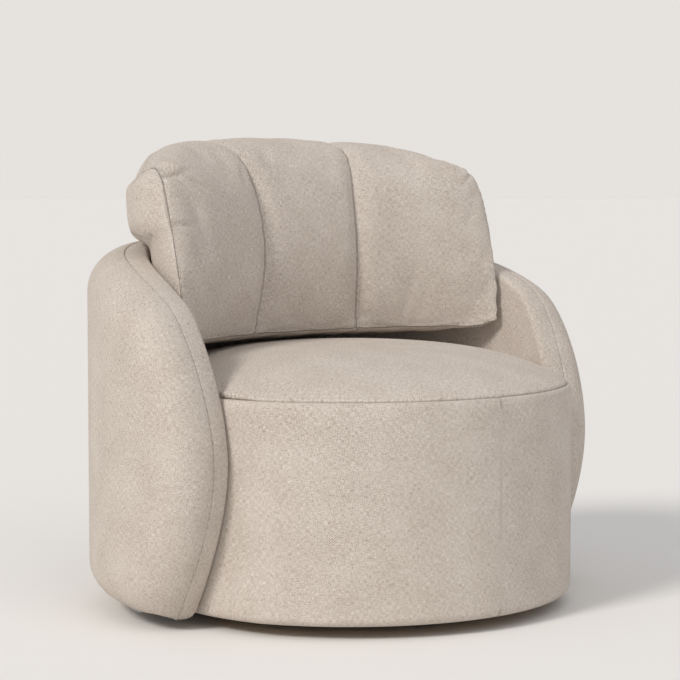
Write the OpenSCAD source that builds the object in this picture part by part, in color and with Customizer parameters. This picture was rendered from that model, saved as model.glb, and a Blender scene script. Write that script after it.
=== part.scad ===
// Swivel tub chair: a round padded seat in a padded tub that wraps it,
// with a loose boxed back cushion, on a low round base with a ball bearing.
// The front faces -Y. The origin is on the floor, on the swivel axis.

/* [Tub] */
// Radius of the tub's outer face
tub_r = 430; // [400:5:460]
// Thickness of the tub's padded wall
wall_t = 95; // [90:1:105]
// Height of the rim at the back
rim_h = 570; // [540:5:600]
// Fall of the rim from the back to the wings
rim_fall = 47; // [35:1:60]
// Extra fall of the rim over the end of each wing
wing_fall = 45; // [38:1:55]
// How far the top of a wing's edge is drawn back to round it into the rim
wing_round = 14; // [8:1:20]
// Angle that each wing reaches past the side of the tub, in degrees
wing_reach_a = 14; // [10:1:18]
// Angle by which a wing's edge draws back at its foot and its top, in degrees
wing_draw_a = 12; // [8:1:14]
// Height of the frontmost point of a wing
wing_mid_h = 250; // [230:5:270]
// Radius of the soft rounding along the tub's outer edges
edge_r = 58; // [50:1:62]
// Radius of the rounding along the tub's inner edge
lip_r = 10; // [6:1:12]

/* [Seat] */
// How much larger the round seat's radius is than the tub's inside radius
seat_spread = 15; // [8:1:20]
// Distance of the seat's centre behind the tub's centre
seat_back = 40; // [30:1:50]
// Height of the seam between the seat's top and its side
seam_h = 346; // [330:2:360]
// Height of the seat's crown above that seam
crown_rise = 61; // [50:1:70]
// How far the seam lies inside the seat's side
seam_inset = 8; // [6:1:12]
// Rounding under the seat's side
foot_round = 14; // [10:1:18]
// Clear height between the floor and the upholstery
under_gap = 20; // [18:1:26]

/* [Back cushion] */
// How much narrower each half of the cushion's front panel is than the tub's inside radius
cushion_side_gap = 9; // [7:1:20]
// How much narrower each half of the cushion's back panel is than its front panel
cushion_taper = 43; // [38:1:60]
// Height of the cushion between its front seams
cushion_h = 310; // [285:1:320]
// Depth of the cushion from the tub's inner wall to the middle of its lower front seam
cushion_depth = 189; // [175:1:200]
// Distance of the front panel's ends behind the tub's centre
cushion_end = 22; // [14:1:34]
// How far the front panel swells in front of its seams
cushion_crown = 66; // [50:1:72]
// How far the cushion leans back over its height
cushion_lean = 84; // [70:1:95]
// How far the front panel rolls back over the cushion's top
cushion_fold = 75; // [50:1:85]
// How far the cushion stands out over the rim behind it
cushion_over = 55; // [30:1:60]
// Rounding of the cushion's upper corners
cushion_corner = 115; // [80:1:125]
// Fall of the cushion's top from its middle to its ends
cushion_dome = 20; // [10:1:26]
// Depth of the two sewn channels in the front panel
channel_depth = 7; // [4:0.5:9]
// Swell of the band round the cushion
boxing_swell = 11; // [6:1:13]

/* [Base and swivel] */
// How far the round base plate's edge lies inside the tub's outer face
base_inset = 200; // [180:5:230]
// Thickness of the base plate
base_t = 11; // [9:1:12]
// Radius of a floor glide
glide_r = 14; // [10:1:18]
// Thickness of a floor glide
glide_t = 4; // [3:0.5:5]
// Number of floor glides
glide_count = 8; // [6:1:12]
// Radius of the ball race
race_r = 95; // [80:1:110]
// Radius of a bearing ball
ball_r = 5; // [4:0.5:5.5]
// Number of bearing balls
ball_count = 24; // [16:1:30]
// Thickness of the swivel's steel plates
swivel_plate_t = 4; // [3:0.5:5]

/* [Materials] */
// Thickness of the cover fabric
cover_t = 2; // [1.5:0.1:2.5]
// Thickness of the frame's plywood
ply_t = 18; // [15:1:20]
// Thickness of the bent boards
board_t = 4; // [3:0.5:5]
// Thickness of the elastic webbing
web_t = 2; // [1.5:0.1:2.5]
// Width of the elastic webbing
web_w = 50; // [40:5:60]

/* [Hidden] */

$fn = 96;
// Overrun of every cut
over = 1;
// Clearance between pieces that lie against each other
fit_gap = 0.3;
// Clearance under a head or a welt that lies on its seat
touch_gap = 0.1;
// Clearance between padding and the curved surface that it lies against
pad_gap = 0.8;
// Clearance between the seat and the inside of the tub
tub_gap = 1.8;

// Colours of the fabric, the frame and the metal
fabric = [0.78, 0.73, 0.66];
foam = [0.93, 0.90, 0.80];
timber = [0.80, 0.66, 0.46];
steel = [0.45, 0.46, 0.48];
dark = [0.10, 0.10, 0.11];

// The origin lies midway between the seat's front and the tub's back
tub_in_r = tub_r - wall_t;
seat_r = tub_in_r + seat_spread;
tub_y = -(tub_r + seat_back - seat_r) / 2;
seat_y = tub_y + seat_back;
crown_h = seam_h + crown_rise;
base_r = tub_r - base_inset;
cushion_half_w = tub_in_r - cushion_side_gap;
cushion_back_half_w = cushion_half_w - cushion_taper;
cushion_mid = tub_in_r - cushion_depth;

// Heights of the layers under and in the seat
base_z = glide_t;
race_z = base_z + base_t;
swivel_h = 2 * swivel_plate_t + 2 * ball_r + 2 * fit_gap;
deck_z = race_z + swivel_h;
deck_top = deck_z + ply_t;
seat_ring_drop = 96;
seat_ring_z = seam_h - seat_ring_drop;
seat_ring_top = seat_ring_z + ply_t;
web_z = seat_ring_top + fit_gap;
seat_foam_z = web_z + 2 * web_t + 2 * fit_gap;
topper_drop = 14.5;
topper_z = seam_h - topper_drop;

// Insets of the seat's layers from its side
side_foam_in = cover_t + fit_gap;
wrap_in = side_foam_in + foot_round;
frame_in = wrap_in + board_t + 2 * fit_gap;

// Circle of the seat's wooden frame, midway between the seat's front and the tub
core_y = (seat_y - seat_r + tub_y + tub_in_r) / 2;
core_margin = 2;
core_r = (tub_y + tub_in_r - seat_y + seat_r) / 2 - frame_in - core_margin;

// Depths of the tub's layers, measured inwards from its outer face
outer_board_h = 36;
outer_frame_h = outer_board_h + board_t + fit_gap;
inner_foam_t = 23;
inner_foam_h = wall_t - inner_foam_t;
inner_frame_h = inner_foam_h - board_t - 2 * fit_gap;
frame_inset = 46;
frame_lift = 8;
frame_foot = under_gap + frame_lift;
rail_bottom_top = frame_foot + ply_t;
rail_middle_drop = 170;
rail_middle_z = rim_h - rail_middle_drop;
rail_top_drop = 80;
rail_top_z = rim_h - rail_top_drop;

// Height where the rim ends and the wing's front edge begins
wing_top_h = rim_h - rim_fall - wing_fall;
wing_half_h = (wing_top_h - under_gap) / 2;

// Powers that shape the wing's edge and the end of the rim
wing_curve_share = 1.8;
rim_curve_share = 2;
rim_end_share = 6;
wing_round_share = 12;

// Angle, from straight back, of a wing's front edge at a height
function wing_a(z) = 90 + wing_reach_a
    - wing_draw_a * pow(abs(z - wing_mid_h) / wing_half_h, wing_curve_share)
    - wing_round / tub_r * 180 / PI
        * pow(max(0, z - under_gap) / (wing_top_h - under_gap), wing_round_share);

// Height of the rim at a share of the way round to a wing's end
function rim_z(u) = rim_h - rim_fall * pow(abs(u), rim_curve_share)
    - wing_fall * pow(abs(u), rim_end_share);

// Half length of the tub's outline round its outer face
half_run = tub_r * PI * (90 + wing_reach_a / 2) / 180;

// Edge of the outer cover: inset and depth of each loop, from the rim seam to the wall
outer_steps = 5;
function outer_edge(off) = [for (k = [0:outer_steps]) let (t = 90 * k / outer_steps)
    [edge_r - (edge_r - off) * cos(t), edge_r - (edge_r - off) * sin(t)]];

// Edge of the inner cover: the flat beside the rim seam, then the lip to the inner wall
lip_steps = 2;
function inner_edge(off) = concat([[off, edge_r + pad_gap]],
    [for (k = [0:lip_steps]) let (t = 90 * k / lip_steps)
        [lip_r - (lip_r - off) * cos(t), wall_t - lip_r + (lip_r - off) * sin(t)]]);

// Inset of a loop, held at the last one of the edge
function loop_d(edge, k) = edge[min(k, len(edge) - 1)][0];

// Distance of grid line n of count from its start, over a length with an edge at each end
function line_at(edge, n, count, length) = let (last = len(edge) - 1)
    n < last ? loop_d(edge, n) : n > count - last ? length - loop_d(edge, count - n)
    : loop_d(edge, last) + (n - last) / (count - 2 * last) * (length - 2 * loop_d(edge, last));

// Place on the tub: share round, height share, and depth from the outer face
function tub_place(u, w, depth) = let (
    z = under_gap + w * (rim_z(u) - under_gap),
    a = u * wing_a(under_gap + w * (wing_top_h - under_gap)),
    r = tub_r - depth) [r * sin(a), tub_y + r * cos(a), z];

// Grid of points over the tub's wall, with the edge's loops round its outline
function tub_grid(edge, cols, rows) = [for (j = [0:rows], i = [0:cols]) let (
    u = line_at(edge, i, cols, 2 * half_run) / half_run - 1,
    h = rim_z(u) - under_gap,
    w = line_at(edge, j, rows, h) / h,
    k = min(i, cols - i, j, rows - j, len(edge) - 1))
    tub_place(u, w, edge[k][1])];

// Triangles of a grid, seen from its outer side
function grid_faces(cols, rows, start, turn) = [for (j = [0:rows - 1], i = [0:cols - 1], s = [0, 1])
    let (a = start + j * (cols + 1) + i, b = a + 1, c = b + cols + 1, d = a + cols + 1)
    s == 0 ? (turn ? [a, c, b] : [a, b, c]) : (turn ? [a, d, c] : [a, c, d])];

// Indices round a grid's outline
function outline(cols, rows, start) = concat(
    [for (i = [0:cols - 1]) start + i],
    [for (j = [0:rows - 1]) start + j * (cols + 1) + cols],
    [for (i = [cols:-1:1]) start + rows * (cols + 1) + i],
    [for (j = [rows:-1:1]) start + j * (cols + 1)]);

// Triangles between two closed loops of indices
function strip(p, q) = [for (n = [0:len(p) - 1], s = [0, 1]) let (m = (n + 1) % len(p))
    s == 0 ? [p[m], p[n], q[n]] : [p[m], q[n], q[m]]];

// Solid between an outer grid and an inner one
module between(outer, inner, cols, rows) {
    count = (cols + 1) * (rows + 1);
    polyhedron(concat(outer, inner), concat(
        strip(outline(cols, rows, 0), outline(cols, rows, count)),
        grid_faces(cols, rows, 0, false), grid_faces(cols, rows, count, true)));
}

// Cylinder ring
module ring(r_out, r_in, z, h) {
    translate([0, 0, z]) difference() {
        cylinder(r = r_out, h = h);
        translate([0, 0, -over]) cylinder(r = r_in, h = h + 2 * over);
    }
}

// Copies turned evenly about the axis
module around(count, first = 0) {
    for (k = [0:count - 1]) rotate([0, 0, first + 360 * k / count]) children();
}

// The seat's plan: its own circle, cut by the inside of the tub
module seat_plan(inset, z, h) {
    intersection() {
        translate([0, seat_y, z]) cylinder(r = seat_r - inset, h = h);
        translate([0, tub_y, z - over]) cylinder(r = tub_in_r - tub_gap - inset, h = h + 2 * over);
    }
}

// Wall that follows the seat's plan between two insets
module seat_wall(inset, inner, z, h) {
    difference() {
        seat_plan(inset, z, h);
        seat_plan(inner, z - over, h + 2 * over);
    }
}

// Height of the seat's crowned top at a radius, lowered by an inset
seam_r = seat_r - seam_inset;
crown_curve_share = 3;
crown_end_share = 0.83;
function crown_z(r, inset) = seam_h - inset + (crown_h - seam_h)
    * pow(max(0, 1 - pow(r / seam_r, crown_curve_share)), crown_end_share);
crown_shares = [0, 0.2, 0.4, 0.55, 0.68, 0.79, 0.87, 0.93, 0.97, 0.99, 1];

// Side of the seat in section, from under its foot to the seam
shoulder_drop = 16;
round_steps = 5;
function side_curve(inset) = concat(
    [for (k = [0:round_steps]) let (t = 90 * k / round_steps)
        [seat_r - foot_round + (foot_round - inset) * sin(t),
            under_gap + foot_round - (foot_round - inset) * cos(t)]],
    [for (k = [0:round_steps]) let (t = 90 * k / round_steps)
        [seat_r - inset - seam_inset * (1 - cos(t)), seam_h - shoulder_drop * (1 - sin(t))]]);

// How far the side cover turns in under the seat
foot_turn = 38;

// Base
module floor_glides() {
    color(dark) around(glide_count) translate([base_r - 2 * glide_r, 0, 0])
        cylinder(r = glide_r, h = glide_t);
}

screw_r = 2.5;
screw_head_r = 5;
screw_head_h = 2.5;
screw_out = 22;
screw_circle = race_r + screw_out;
base_screw_count = 6;
bolt_r = 4;
bolt_head_r = 7;
bolt_head_h = 4;
bolt_in = 26;
bolt_circle = race_r - bolt_in;
bolt_count = 6;
hole_slack = 0.5;
race_wall = 14;
race_depth_share = 0.6;
plate_rim_w = 34;
plate_r = race_r + plate_rim_w;
plate_hole_in = 42;
plate_hole_r = race_r - plate_hole_in;

module base_plate() {
    color(dark) difference() {
        translate([0, 0, base_z]) cylinder(r = base_r, h = base_t);
        around(base_screw_count) translate([screw_circle, 0, base_z - over])
            cylinder(r = screw_r + hole_slack / 2, h = base_t + 2 * over);
    }
}

// One swivel plate: a disc with a half groove for the balls, flat side down
module race_plate() {
    difference() {
        union() {
            cylinder(r = plate_r, h = swivel_plate_t);
            translate([0, 0, swivel_plate_t - over / 2])
                rotate_extrude() translate([race_r - race_wall / 2, 0])
                    square([race_wall, ball_r * race_depth_share + over / 2]);
        }
        translate([0, 0, -over]) cylinder(r = plate_hole_r, h = swivel_plate_t + 2 * over);
        translate([0, 0, swivel_plate_t + ball_r + fit_gap]) rotate_extrude()
            translate([race_r, 0]) circle(r = ball_r + fit_gap);
    }
}

module swivel_lower_plate() {
    color(steel) translate([0, 0, race_z]) difference() {
        race_plate();
        around(base_screw_count) translate([screw_circle, 0, -over])
            cylinder(r = screw_r + hole_slack / 2, h = swivel_plate_t + 2 * over);
    }
}

module base_screws() {
    color(steel) around(base_screw_count) translate([screw_circle, 0, 0]) {
        translate([0, 0, base_z + over]) cylinder(r = screw_r, h = base_t + swivel_plate_t);
        translate([0, 0, race_z + swivel_plate_t + touch_gap])
            cylinder(r = screw_head_r, h = screw_head_h);
    }
}

ball_z = race_z + swivel_h / 2;
module swivel_balls() {
    color(steel) around(ball_count) translate([race_r, 0, ball_z]) sphere(r = ball_r);
}

cage_w = 3 * ball_r;
cage_h = ball_r / 2;
module swivel_ball_cage() {
    color(dark) difference() {
        ring(race_r + cage_w / 2, race_r - cage_w / 2, ball_z - cage_h / 2, cage_h);
        around(ball_count) translate([race_r, 0, ball_z]) sphere(r = ball_r + fit_gap / 2);
    }
}

module swivel_upper_plate() {
    color(steel) translate([0, 0, deck_z]) mirror([0, 0, 1]) difference() {
        race_plate();
        around(bolt_count) translate([bolt_circle, 0, -over])
            cylinder(r = bolt_r + hole_slack / 2, h = swivel_plate_t + 2 * over);
    }
}

module swivel_bolts() {
    color(steel) around(bolt_count) translate([bolt_circle, 0, 0]) {
        translate([0, 0, deck_z - swivel_plate_t - touch_gap - bolt_head_h])
            cylinder(r = bolt_head_r, h = bolt_head_h);
        translate([0, 0, deck_z - swivel_plate_t - bolt_head_h])
            cylinder(r = bolt_r, h = ply_t + swivel_plate_t + bolt_head_h - over);
    }
}

// Seat frame
module bottom_board() {
    color(timber) difference() {
        seat_plan(frame_in, deck_z, ply_t);
        translate([0, 0, deck_z - over]) cylinder(r = plate_hole_r, h = ply_t + 2 * over);
        around(bolt_count) translate([bolt_circle, 0, deck_z - over])
            cylinder(r = bolt_r + hole_slack / 2, h = ply_t + 2 * over);
    }
}

foot_ring_w = 60;
foot_ring_z = under_gap + cover_t + fit_gap;
module foot_ring() {
    color(timber) seat_wall(frame_in, frame_in + foot_ring_w, foot_ring_z,
        deck_z - foot_ring_z - fit_gap);
}

post_count = 8;
post_w = 45;
post_t = 28;
post_in = 2;
module seat_posts() {
    color(timber) translate([0, core_y, deck_top + fit_gap]) around(post_count, 180 / post_count)
        translate([core_r - post_t - post_in, -post_w / 2, 0])
            cube([post_t, post_w, seat_ring_z - deck_top - 2 * fit_gap]);
}

seat_ring_w = 70;
module seat_ring() {
    color(timber) translate([0, core_y, 0])
        ring(core_r, core_r - seat_ring_w, seat_ring_z, ply_t);
}

web_count = 5;
web_pitch = 80;
// One layer of straps, each as long as the frame is wide where it lies
module straps(z) {
    for (k = [0:web_count - 1]) let (x = (k - (web_count - 1) / 2) * web_pitch,
        half = sqrt(pow(core_r, 2) - pow(abs(x) + web_w / 2, 2)))
        translate([x - web_w / 2, -half, z]) cube([web_w, 2 * half, web_t]);
}

module seat_webbing() {
    color(dark) translate([0, core_y, 0]) {
        straps(web_z);
        rotate([0, 0, 90]) straps(web_z + web_t + fit_gap);
    }
}

wrap_top = topper_z - fit_gap;
module seat_wrap_board() {
    color(timber) seat_wall(wrap_in + fit_gap, frame_in - fit_gap, foot_ring_z,
        wrap_top - foot_ring_z);
}

module seat_side_foam() {
    color(foam) seat_wall(side_foam_in, wrap_in, under_gap + foot_round,
        wrap_top - under_gap - foot_round);
}

module seat_foam() {
    color(foam) seat_plan(frame_in, seat_foam_z, topper_z - seat_foam_z - fit_gap);
}

module seat_topper() {
    color(foam) intersection() {
        translate([0, seat_y, 0]) rotate_extrude()
            polygon(concat([[0, topper_z]],
                [[seam_r - side_foam_in, topper_z], [seam_r - side_foam_in, seam_h - side_foam_in]],
                [for (k = [len(crown_shares) - 2:-1:0])
                    let (r = crown_shares[k] * (seam_r - side_foam_in))
                    [r, crown_z(r, cover_t + 2 * fit_gap)]]));
        translate([0, tub_y, 0]) cylinder(r = tub_in_r - tub_gap - side_foam_in, h = crown_h);
    }
}

// Seat covers
module seat_top_cover() {
    low = seam_h + touch_gap;
    color(fabric) intersection() {
        translate([0, seat_y, 0]) rotate_extrude()
            polygon(concat(
                [for (s = crown_shares) [s * seam_r, max(low, crown_z(s * seam_r, 0))]],
                [for (k = [len(crown_shares) - 1:-1:0])
                    let (r = crown_shares[k] * (seam_r - cover_t / 2))
                    [r, max(low, crown_z(r, cover_t))]]));
        translate([0, tub_y, 0]) cylinder(r = tub_in_r - tub_gap, h = crown_h + over);
    }
}

module seat_body(inset) {
    intersection() {
        translate([0, seat_y, 0]) rotate_extrude() polygon(concat(
            [[0, under_gap + inset]], side_curve(inset), [[0, seam_h]]));
        translate([0, tub_y, 0]) cylinder(r = tub_in_r - tub_gap - inset, h = crown_h);
    }
}

module seat_side_cover() {
    color(fabric) difference() {
        seat_body(0);
        seat_body(cover_t);
        translate([0, core_y, 0]) cylinder(r = core_r - foot_turn + frame_in, h = under_gap + foot_round);
        seat_plan(seam_inset + cover_t, seam_h - shoulder_drop, shoulder_drop + over);
    }
}

welt_r = 1.6;
welt_path_r = seam_r + welt_r;
welt_tub_r = tub_in_r - tub_gap - welt_r;
// The welt ends where the seat's circle meets the inside of the tub
welt_a = acos((pow(welt_path_r, 2) + pow(seat_back, 2) - pow(welt_tub_r, 2))
    / (2 * seat_back * welt_path_r));
module seat_seam_welt() {
    color(fabric) translate([0, seat_y, seam_h + welt_r + touch_gap]) rotate([0, 0, -90 - welt_a])
        rotate_extrude(angle = 2 * welt_a) translate([welt_path_r, 0]) circle(r = welt_r);
}

dust_t = 0.8;
module dust_cover() {
    color(dark) difference() {
        seat_plan(frame_in + foot_ring_w + fit_gap, deck_z - fit_gap - dust_t, dust_t);
        translate([0, 0, race_z]) cylinder(r = plate_r + 2 * fit_gap, h = swivel_h);
    }
}

// Tub frame
// Side view of the tub's wooden frame, set in from the outline, as seen along X
profile_steps = 12;
function frame_profile(inset) = let (r = tub_r - (outer_board_h + inner_foam_h) / 2) concat(
    [[tub_r + inset, frame_foot]],
    [for (k = [0:profile_steps]) let (
        z = frame_foot + k / profile_steps * (wing_top_h - inset - frame_foot))
        [r * cos(wing_a(z)) + inset, z]],
    [for (k = [1:profile_steps]) let (u = 1 - k / profile_steps, a = u * wing_a(wing_top_h))
        [r * cos(a) + inset * u, rim_z(u) - inset]],
    [[tub_r + inset, rim_h - inset]]);

module frame_envelope(inset) {
    translate([-tub_r, tub_y, 0]) rotate([90, 0, 90])
        linear_extrude(2 * tub_r) polygon(frame_profile(inset));
}

// Part of a ring of the tub that lies inside the frame's side view
module tub_ring(h_out, h_in, z, height, inset = frame_inset) {
    intersection() {
        translate([0, tub_y, 0]) ring(tub_r - h_out, tub_r - h_in, z, height);
        frame_envelope(inset);
    }
}

module tub_bottom_rail() {
    color(timber) tub_ring(outer_frame_h, inner_frame_h, frame_foot, ply_t);
}

module tub_middle_rail() {
    color(timber) tub_ring(outer_frame_h, inner_frame_h, rail_middle_z, ply_t);
}

// The top rail stops where the rim falls below it
top_rail_a = 96;
module tub_top_rail() {
    color(timber) intersection() {
        tub_ring(outer_frame_h, inner_frame_h, rail_top_z, ply_t);
        translate([0, tub_y, 0]) rotate([0, 0, 90 - top_rail_a / 2]) rotate_extrude(angle = top_rail_a)
            square([tub_r, rim_h]);
    }
}

// Upright block between two rails
upright_w = 40;
upright_fit = 1;
module uprights(count, spread_a, z, height) {
    r_in = tub_r - inner_frame_h + 2 * upright_fit;
    for (k = [0:count - 1]) translate([0, tub_y, z + fit_gap])
        rotate([0, 0, 90 - spread_a / 2 + spread_a * k / (count - 1)])
            translate([r_in, -upright_w / 2, 0])
                cube([tub_r - outer_frame_h - r_in - upright_fit, upright_w, height - 2 * fit_gap]);
}

upright_count = 7;
upright_spread_a = 150;
module tub_uprights() {
    color(timber) uprights(upright_count, upright_spread_a, rail_bottom_top,
        rail_middle_z - rail_bottom_top);
}

strut_count = 4;
strut_spread_a = 84;
module tub_back_struts() {
    color(timber) uprights(strut_count, strut_spread_a, rail_middle_z + ply_t,
        rail_top_z - rail_middle_z - ply_t);
}

// Bowed plywood formers that carry the front edge of each wing
former_w = 24;
module wing_formers() {
    color(timber) difference() {
        tub_ring(outer_frame_h, inner_frame_h, rail_bottom_top + fit_gap,
            rail_middle_z - rail_bottom_top - 2 * fit_gap);
        translate([0, former_w, 0]) frame_envelope(frame_inset);
        translate([-tub_r, tub_y, 0]) cube([2 * tub_r, tub_r, rim_h]);
    }
}

module tub_inner_board() {
    color(timber)
        tub_ring(inner_foam_h - board_t - fit_gap, inner_foam_h - fit_gap, frame_foot, rim_h);
}

module tub_outer_board() {
    color(timber) tub_ring(outer_board_h, outer_board_h + board_t, frame_foot, rim_h,
        frame_inset + 2 * over);
}

// Tub padding: the outer foam lies under the cover's own grid lines, inside its rounded edge
foam_off = cover_t + pad_gap;
cover_cols = 40;
cover_rows = 19;
pad_first = 2;
function pad_edge(flat) = [for (k = [pad_first:outer_steps]) let (p = outer_edge(foam_off)[k])
    [p[0], flat ? outer_board_h - 2 * pad_gap : p[1]]];

module tub_outer_foam() {
    cols = cover_cols - 2 * pad_first;
    rows = cover_rows - 2 * pad_first;
    color(foam) between(tub_grid(pad_edge(false), cols, rows), tub_grid(pad_edge(true), cols, rows),
        cols, rows);
}

// The inner foam too lies under its cover's grid lines, inside the lip
inner_pad_inset = lip_r + pad_gap + cover_t;
lining_rows = 15;
module tub_inner_foam() {
    cols = cover_cols - 2 * (lip_steps + 1);
    rows = lining_rows - 2 * (lip_steps + 1);
    color(foam) between(tub_grid([[inner_pad_inset, inner_foam_h]], cols, rows),
        tub_grid([[inner_pad_inset, wall_t - foam_off]], cols, rows), cols, rows);
}

// Section of the foam roll round the wings and the rim: inset and depth
roll_off = cover_t + 3 * pad_gap;
roll_turn_a = 28;
roll_lip_a = 45;
function roll_edge(t) = [edge_r - (edge_r - roll_off) * cos(t), edge_r - (edge_r - roll_off) * sin(t)];
roll_section = concat([for (t = [roll_turn_a, roll_turn_a / 2, 0]) roll_edge(t)],
    [[roll_off, wall_t - lip_r],
        [lip_r - (lip_r - roll_off) * cos(roll_lip_a),
            wall_t - lip_r + (lip_r - roll_off) * sin(roll_lip_a)],
        [lip_r, wall_t - roll_off], [inner_pad_inset - pad_gap, wall_t - roll_off],
        [inner_pad_inset - pad_gap, inner_foam_h - pad_gap],
        [frame_inset - pad_gap, inner_foam_h - pad_gap],
        [frame_inset - pad_gap, outer_board_h + fit_gap],
        [roll_edge(roll_turn_a)[0], outer_board_h + fit_gap]]);

// Stations along the roll: share round and row of the cover's grid, the last row over the rim
roll_first = 3;
side_rows = concat([roll_first], [for (j = [outer_steps:cover_rows - outer_steps]) j]);
side_count = len(side_rows);
roll_line = concat([for (j = side_rows) [-1, j]], [[-1, cover_rows]],
    [for (i = [outer_steps:cover_cols - outer_steps])
        [line_at(outer_edge(0), i, cover_cols, 2 * half_run) / half_run - 1, cover_rows]],
    [[1, cover_rows]], [for (k = [side_count - 1:-1:0]) [1, side_rows[k]]]);

function roll_place(at, p) = let (
    u = at[0] * (abs(at[0]) == 1 ? 1 - p[0] / half_run : 1),
    h = rim_z(u) - under_gap,
    low = at[1] < cover_rows ? line_at(outer_edge(0), at[1], cover_rows, h) : h - p[0])
    tub_place(u, low / h, p[1]);

module tub_edge_foam() {
    m = len(roll_section);
    last = len(roll_line) - 1;
    color(foam) polyhedron(
        [for (at = roll_line, p = roll_section) roll_place(at, p)],
        concat([[for (k = [0:m - 1]) k]],
            [for (n = [0:last - 1], k = [0:m - 1], s = [0, 1]) let (
                a = n * m + k, b = n * m + (k + 1) % m, c = b + m, d = a + m)
                s == 0 ? [b, a, d] : [b, d, c]],
            [[for (k = [m - 1:-1:0]) last * m + k]]));
}

// Tub covers
module tub_outer_cover() {
    color(fabric) between(tub_grid(outer_edge(0), cover_cols, cover_rows),
        tub_grid(outer_edge(cover_t), cover_cols, cover_rows), cover_cols, cover_rows);
}

module tub_inner_cover() {
    color(fabric) between(tub_grid(inner_edge(cover_t), cover_cols, lining_rows),
        tub_grid(inner_edge(0), cover_cols, lining_rows), cover_cols, lining_rows);
}

// Steel plates under the chair that join the tub to the seat
plate_count = 5;
plate_spread_a = 150;
plate_len = 96;
plate_w = 40;
plate_t = 3;
join_hole = 30;
module at_plates() {
    for (k = [0:plate_count - 1]) translate([0, tub_y, 0])
        rotate([0, 0, 90 - plate_spread_a / 2 + plate_spread_a * k / (plate_count - 1)])
            translate([tub_in_r, 0, 0]) children();
}

module joining_plates() {
    color(steel) at_plates() translate([0, 0, under_gap - fit_gap - plate_t]) difference() {
        translate([-plate_len / 2, -plate_w / 2, 0]) cube([plate_len, plate_w, plate_t]);
        for (x = [-join_hole, join_hole]) translate([x, 0, -over])
            cylinder(r = screw_r + hole_slack / 2, h = plate_t + 2 * over);
    }
}

module joining_screws() {
    color(steel) at_plates() for (x = [-join_hole, join_hole]) translate([x, 0, 0]) {
        translate([0, 0, under_gap - fit_gap - plate_t - touch_gap - screw_head_h])
            cylinder(r = screw_head_r, h = screw_head_h);
        translate([0, 0, under_gap - plate_t - screw_head_h])
            cylinder(r = screw_r, h = plate_t + screw_head_h);
    }
}

// Back cushion
seam_lift = 8;
cushion_z = crown_h + fit_gap + seam_lift;
cushion_top = cushion_z + cushion_h;
corner_share = 0.29;
corner_cut = corner_share * cushion_corner;
foot_corner_cut = corner_cut / 3;
channel_share = 0.29;
channel_low_share = 0.2;
channel_high_share = 0.3;
channel_mid_share = 0.4;
rim_clear = 10;

// Powers that shape the cushion's corners, ends, swell and top
corner_in_share = 3;
corner_top_share = 7;
corner_foot_share = 9;
corner_drop_share = 6;
corner_lift_share = 18;
height_share = 3;
plan_curve_share = 2.5;
swell_low_share = 1.5;
swell_flat_share = 3.5;
swell_end_share = 8;
swell_edge_share = 0.6;
fold_curve_share = 8;
crest_curve_share = 10;
// Part of its height by which the panel falls again behind its crest, and the crest's own part
crest_fall_share = 0.15;
crest_share = 0.86;

// Columns run from end to end, closer beside the two channels
half_shares = [0, 0.5, 0.86, 1, 1.14, 1.6, 2.2, 2.8, 3.2, 1 / channel_share];
col_shares = concat([for (k = [len(half_shares) - 1:-1:1]) -half_shares[k]], half_shares);
row_shares = [0, 0.03, 0.1, 0.22, 0.34, 0.44, 0.54, 0.65, 0.77, 0.87, 0.93, 0.97, 1];
cushion_cols = len(col_shares) - 1;
cushion_rows = len(row_shares) - 1;
cushion_last = 1 / channel_share;

// Share of the half width where a channel lies, at a height share
function channel_at(w) = channel_share + (w < channel_mid_share
    ? channel_low_share * pow(channel_mid_share - w, 2)
    : channel_high_share * pow(w - channel_mid_share, 2));

// Column share turned to a share of the half width: 1 lies on the channel
function across(c, w) = let (s = channel_at(w), e = abs(c))
    sign(c) * (e <= 1 ? e * s : s + (e - 1) / (cushion_last - 1) * (1 - s));

// How much a column's place is drawn to the channel: 1 on it, 0 beside it
groove_share = 0.2;
function groove(c) = max(0, 1 - abs(abs(c) - 1) / groove_share);

// Place on a panel's outline surface: width, height, with rounded corners and a crest
function panel_x(u, w, half) = half * u - sign(u) * pow(abs(u), corner_in_share)
    * (corner_cut * pow(w, corner_top_share) + foot_corner_cut * pow(1 - w, corner_foot_share));
function corner_z(u, w) = foot_corner_cut * pow(abs(u), corner_lift_share) * pow(1 - w, height_share)
    - (corner_cut * pow(abs(u), corner_drop_share) + cushion_dome * pow(u, 2)) * pow(w, height_share);
function panel_z(u, w) = cushion_z + corner_z(u, w)
    + cushion_h * (w - crest_fall_share * pow(w, crest_curve_share)) / crest_share;
function back_z(u, w) = cushion_z + corner_z(u, w) + cushion_h * w * (1 - crest_fall_share) / crest_share;

// Front panel: it curves forward to its ends, leans back, swells between its seams
// and rolls over the cushion's top, with the two channels sewn in all the way
function swell(u, w) = (1 - pow(abs(1 - 2 * pow(w, swell_low_share)), swell_flat_share))
    * pow(max(0, 1 - pow(abs(u), swell_end_share)), swell_edge_share);
function front_at(c, w) = let (u = across(c, w))
    [panel_x(u, w, cushion_half_w), tub_y + cushion_end
        + (cushion_mid - cushion_end) * (1 - pow(abs(u), plan_curve_share))
        + cushion_lean * w + cushion_fold * pow(w, fold_curve_share)
        - (cushion_crown - channel_depth * groove(c)) * swell(u, w),
        panel_z(u, w) - channel_depth * groove(c) * pow(w, fold_curve_share)];

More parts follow.
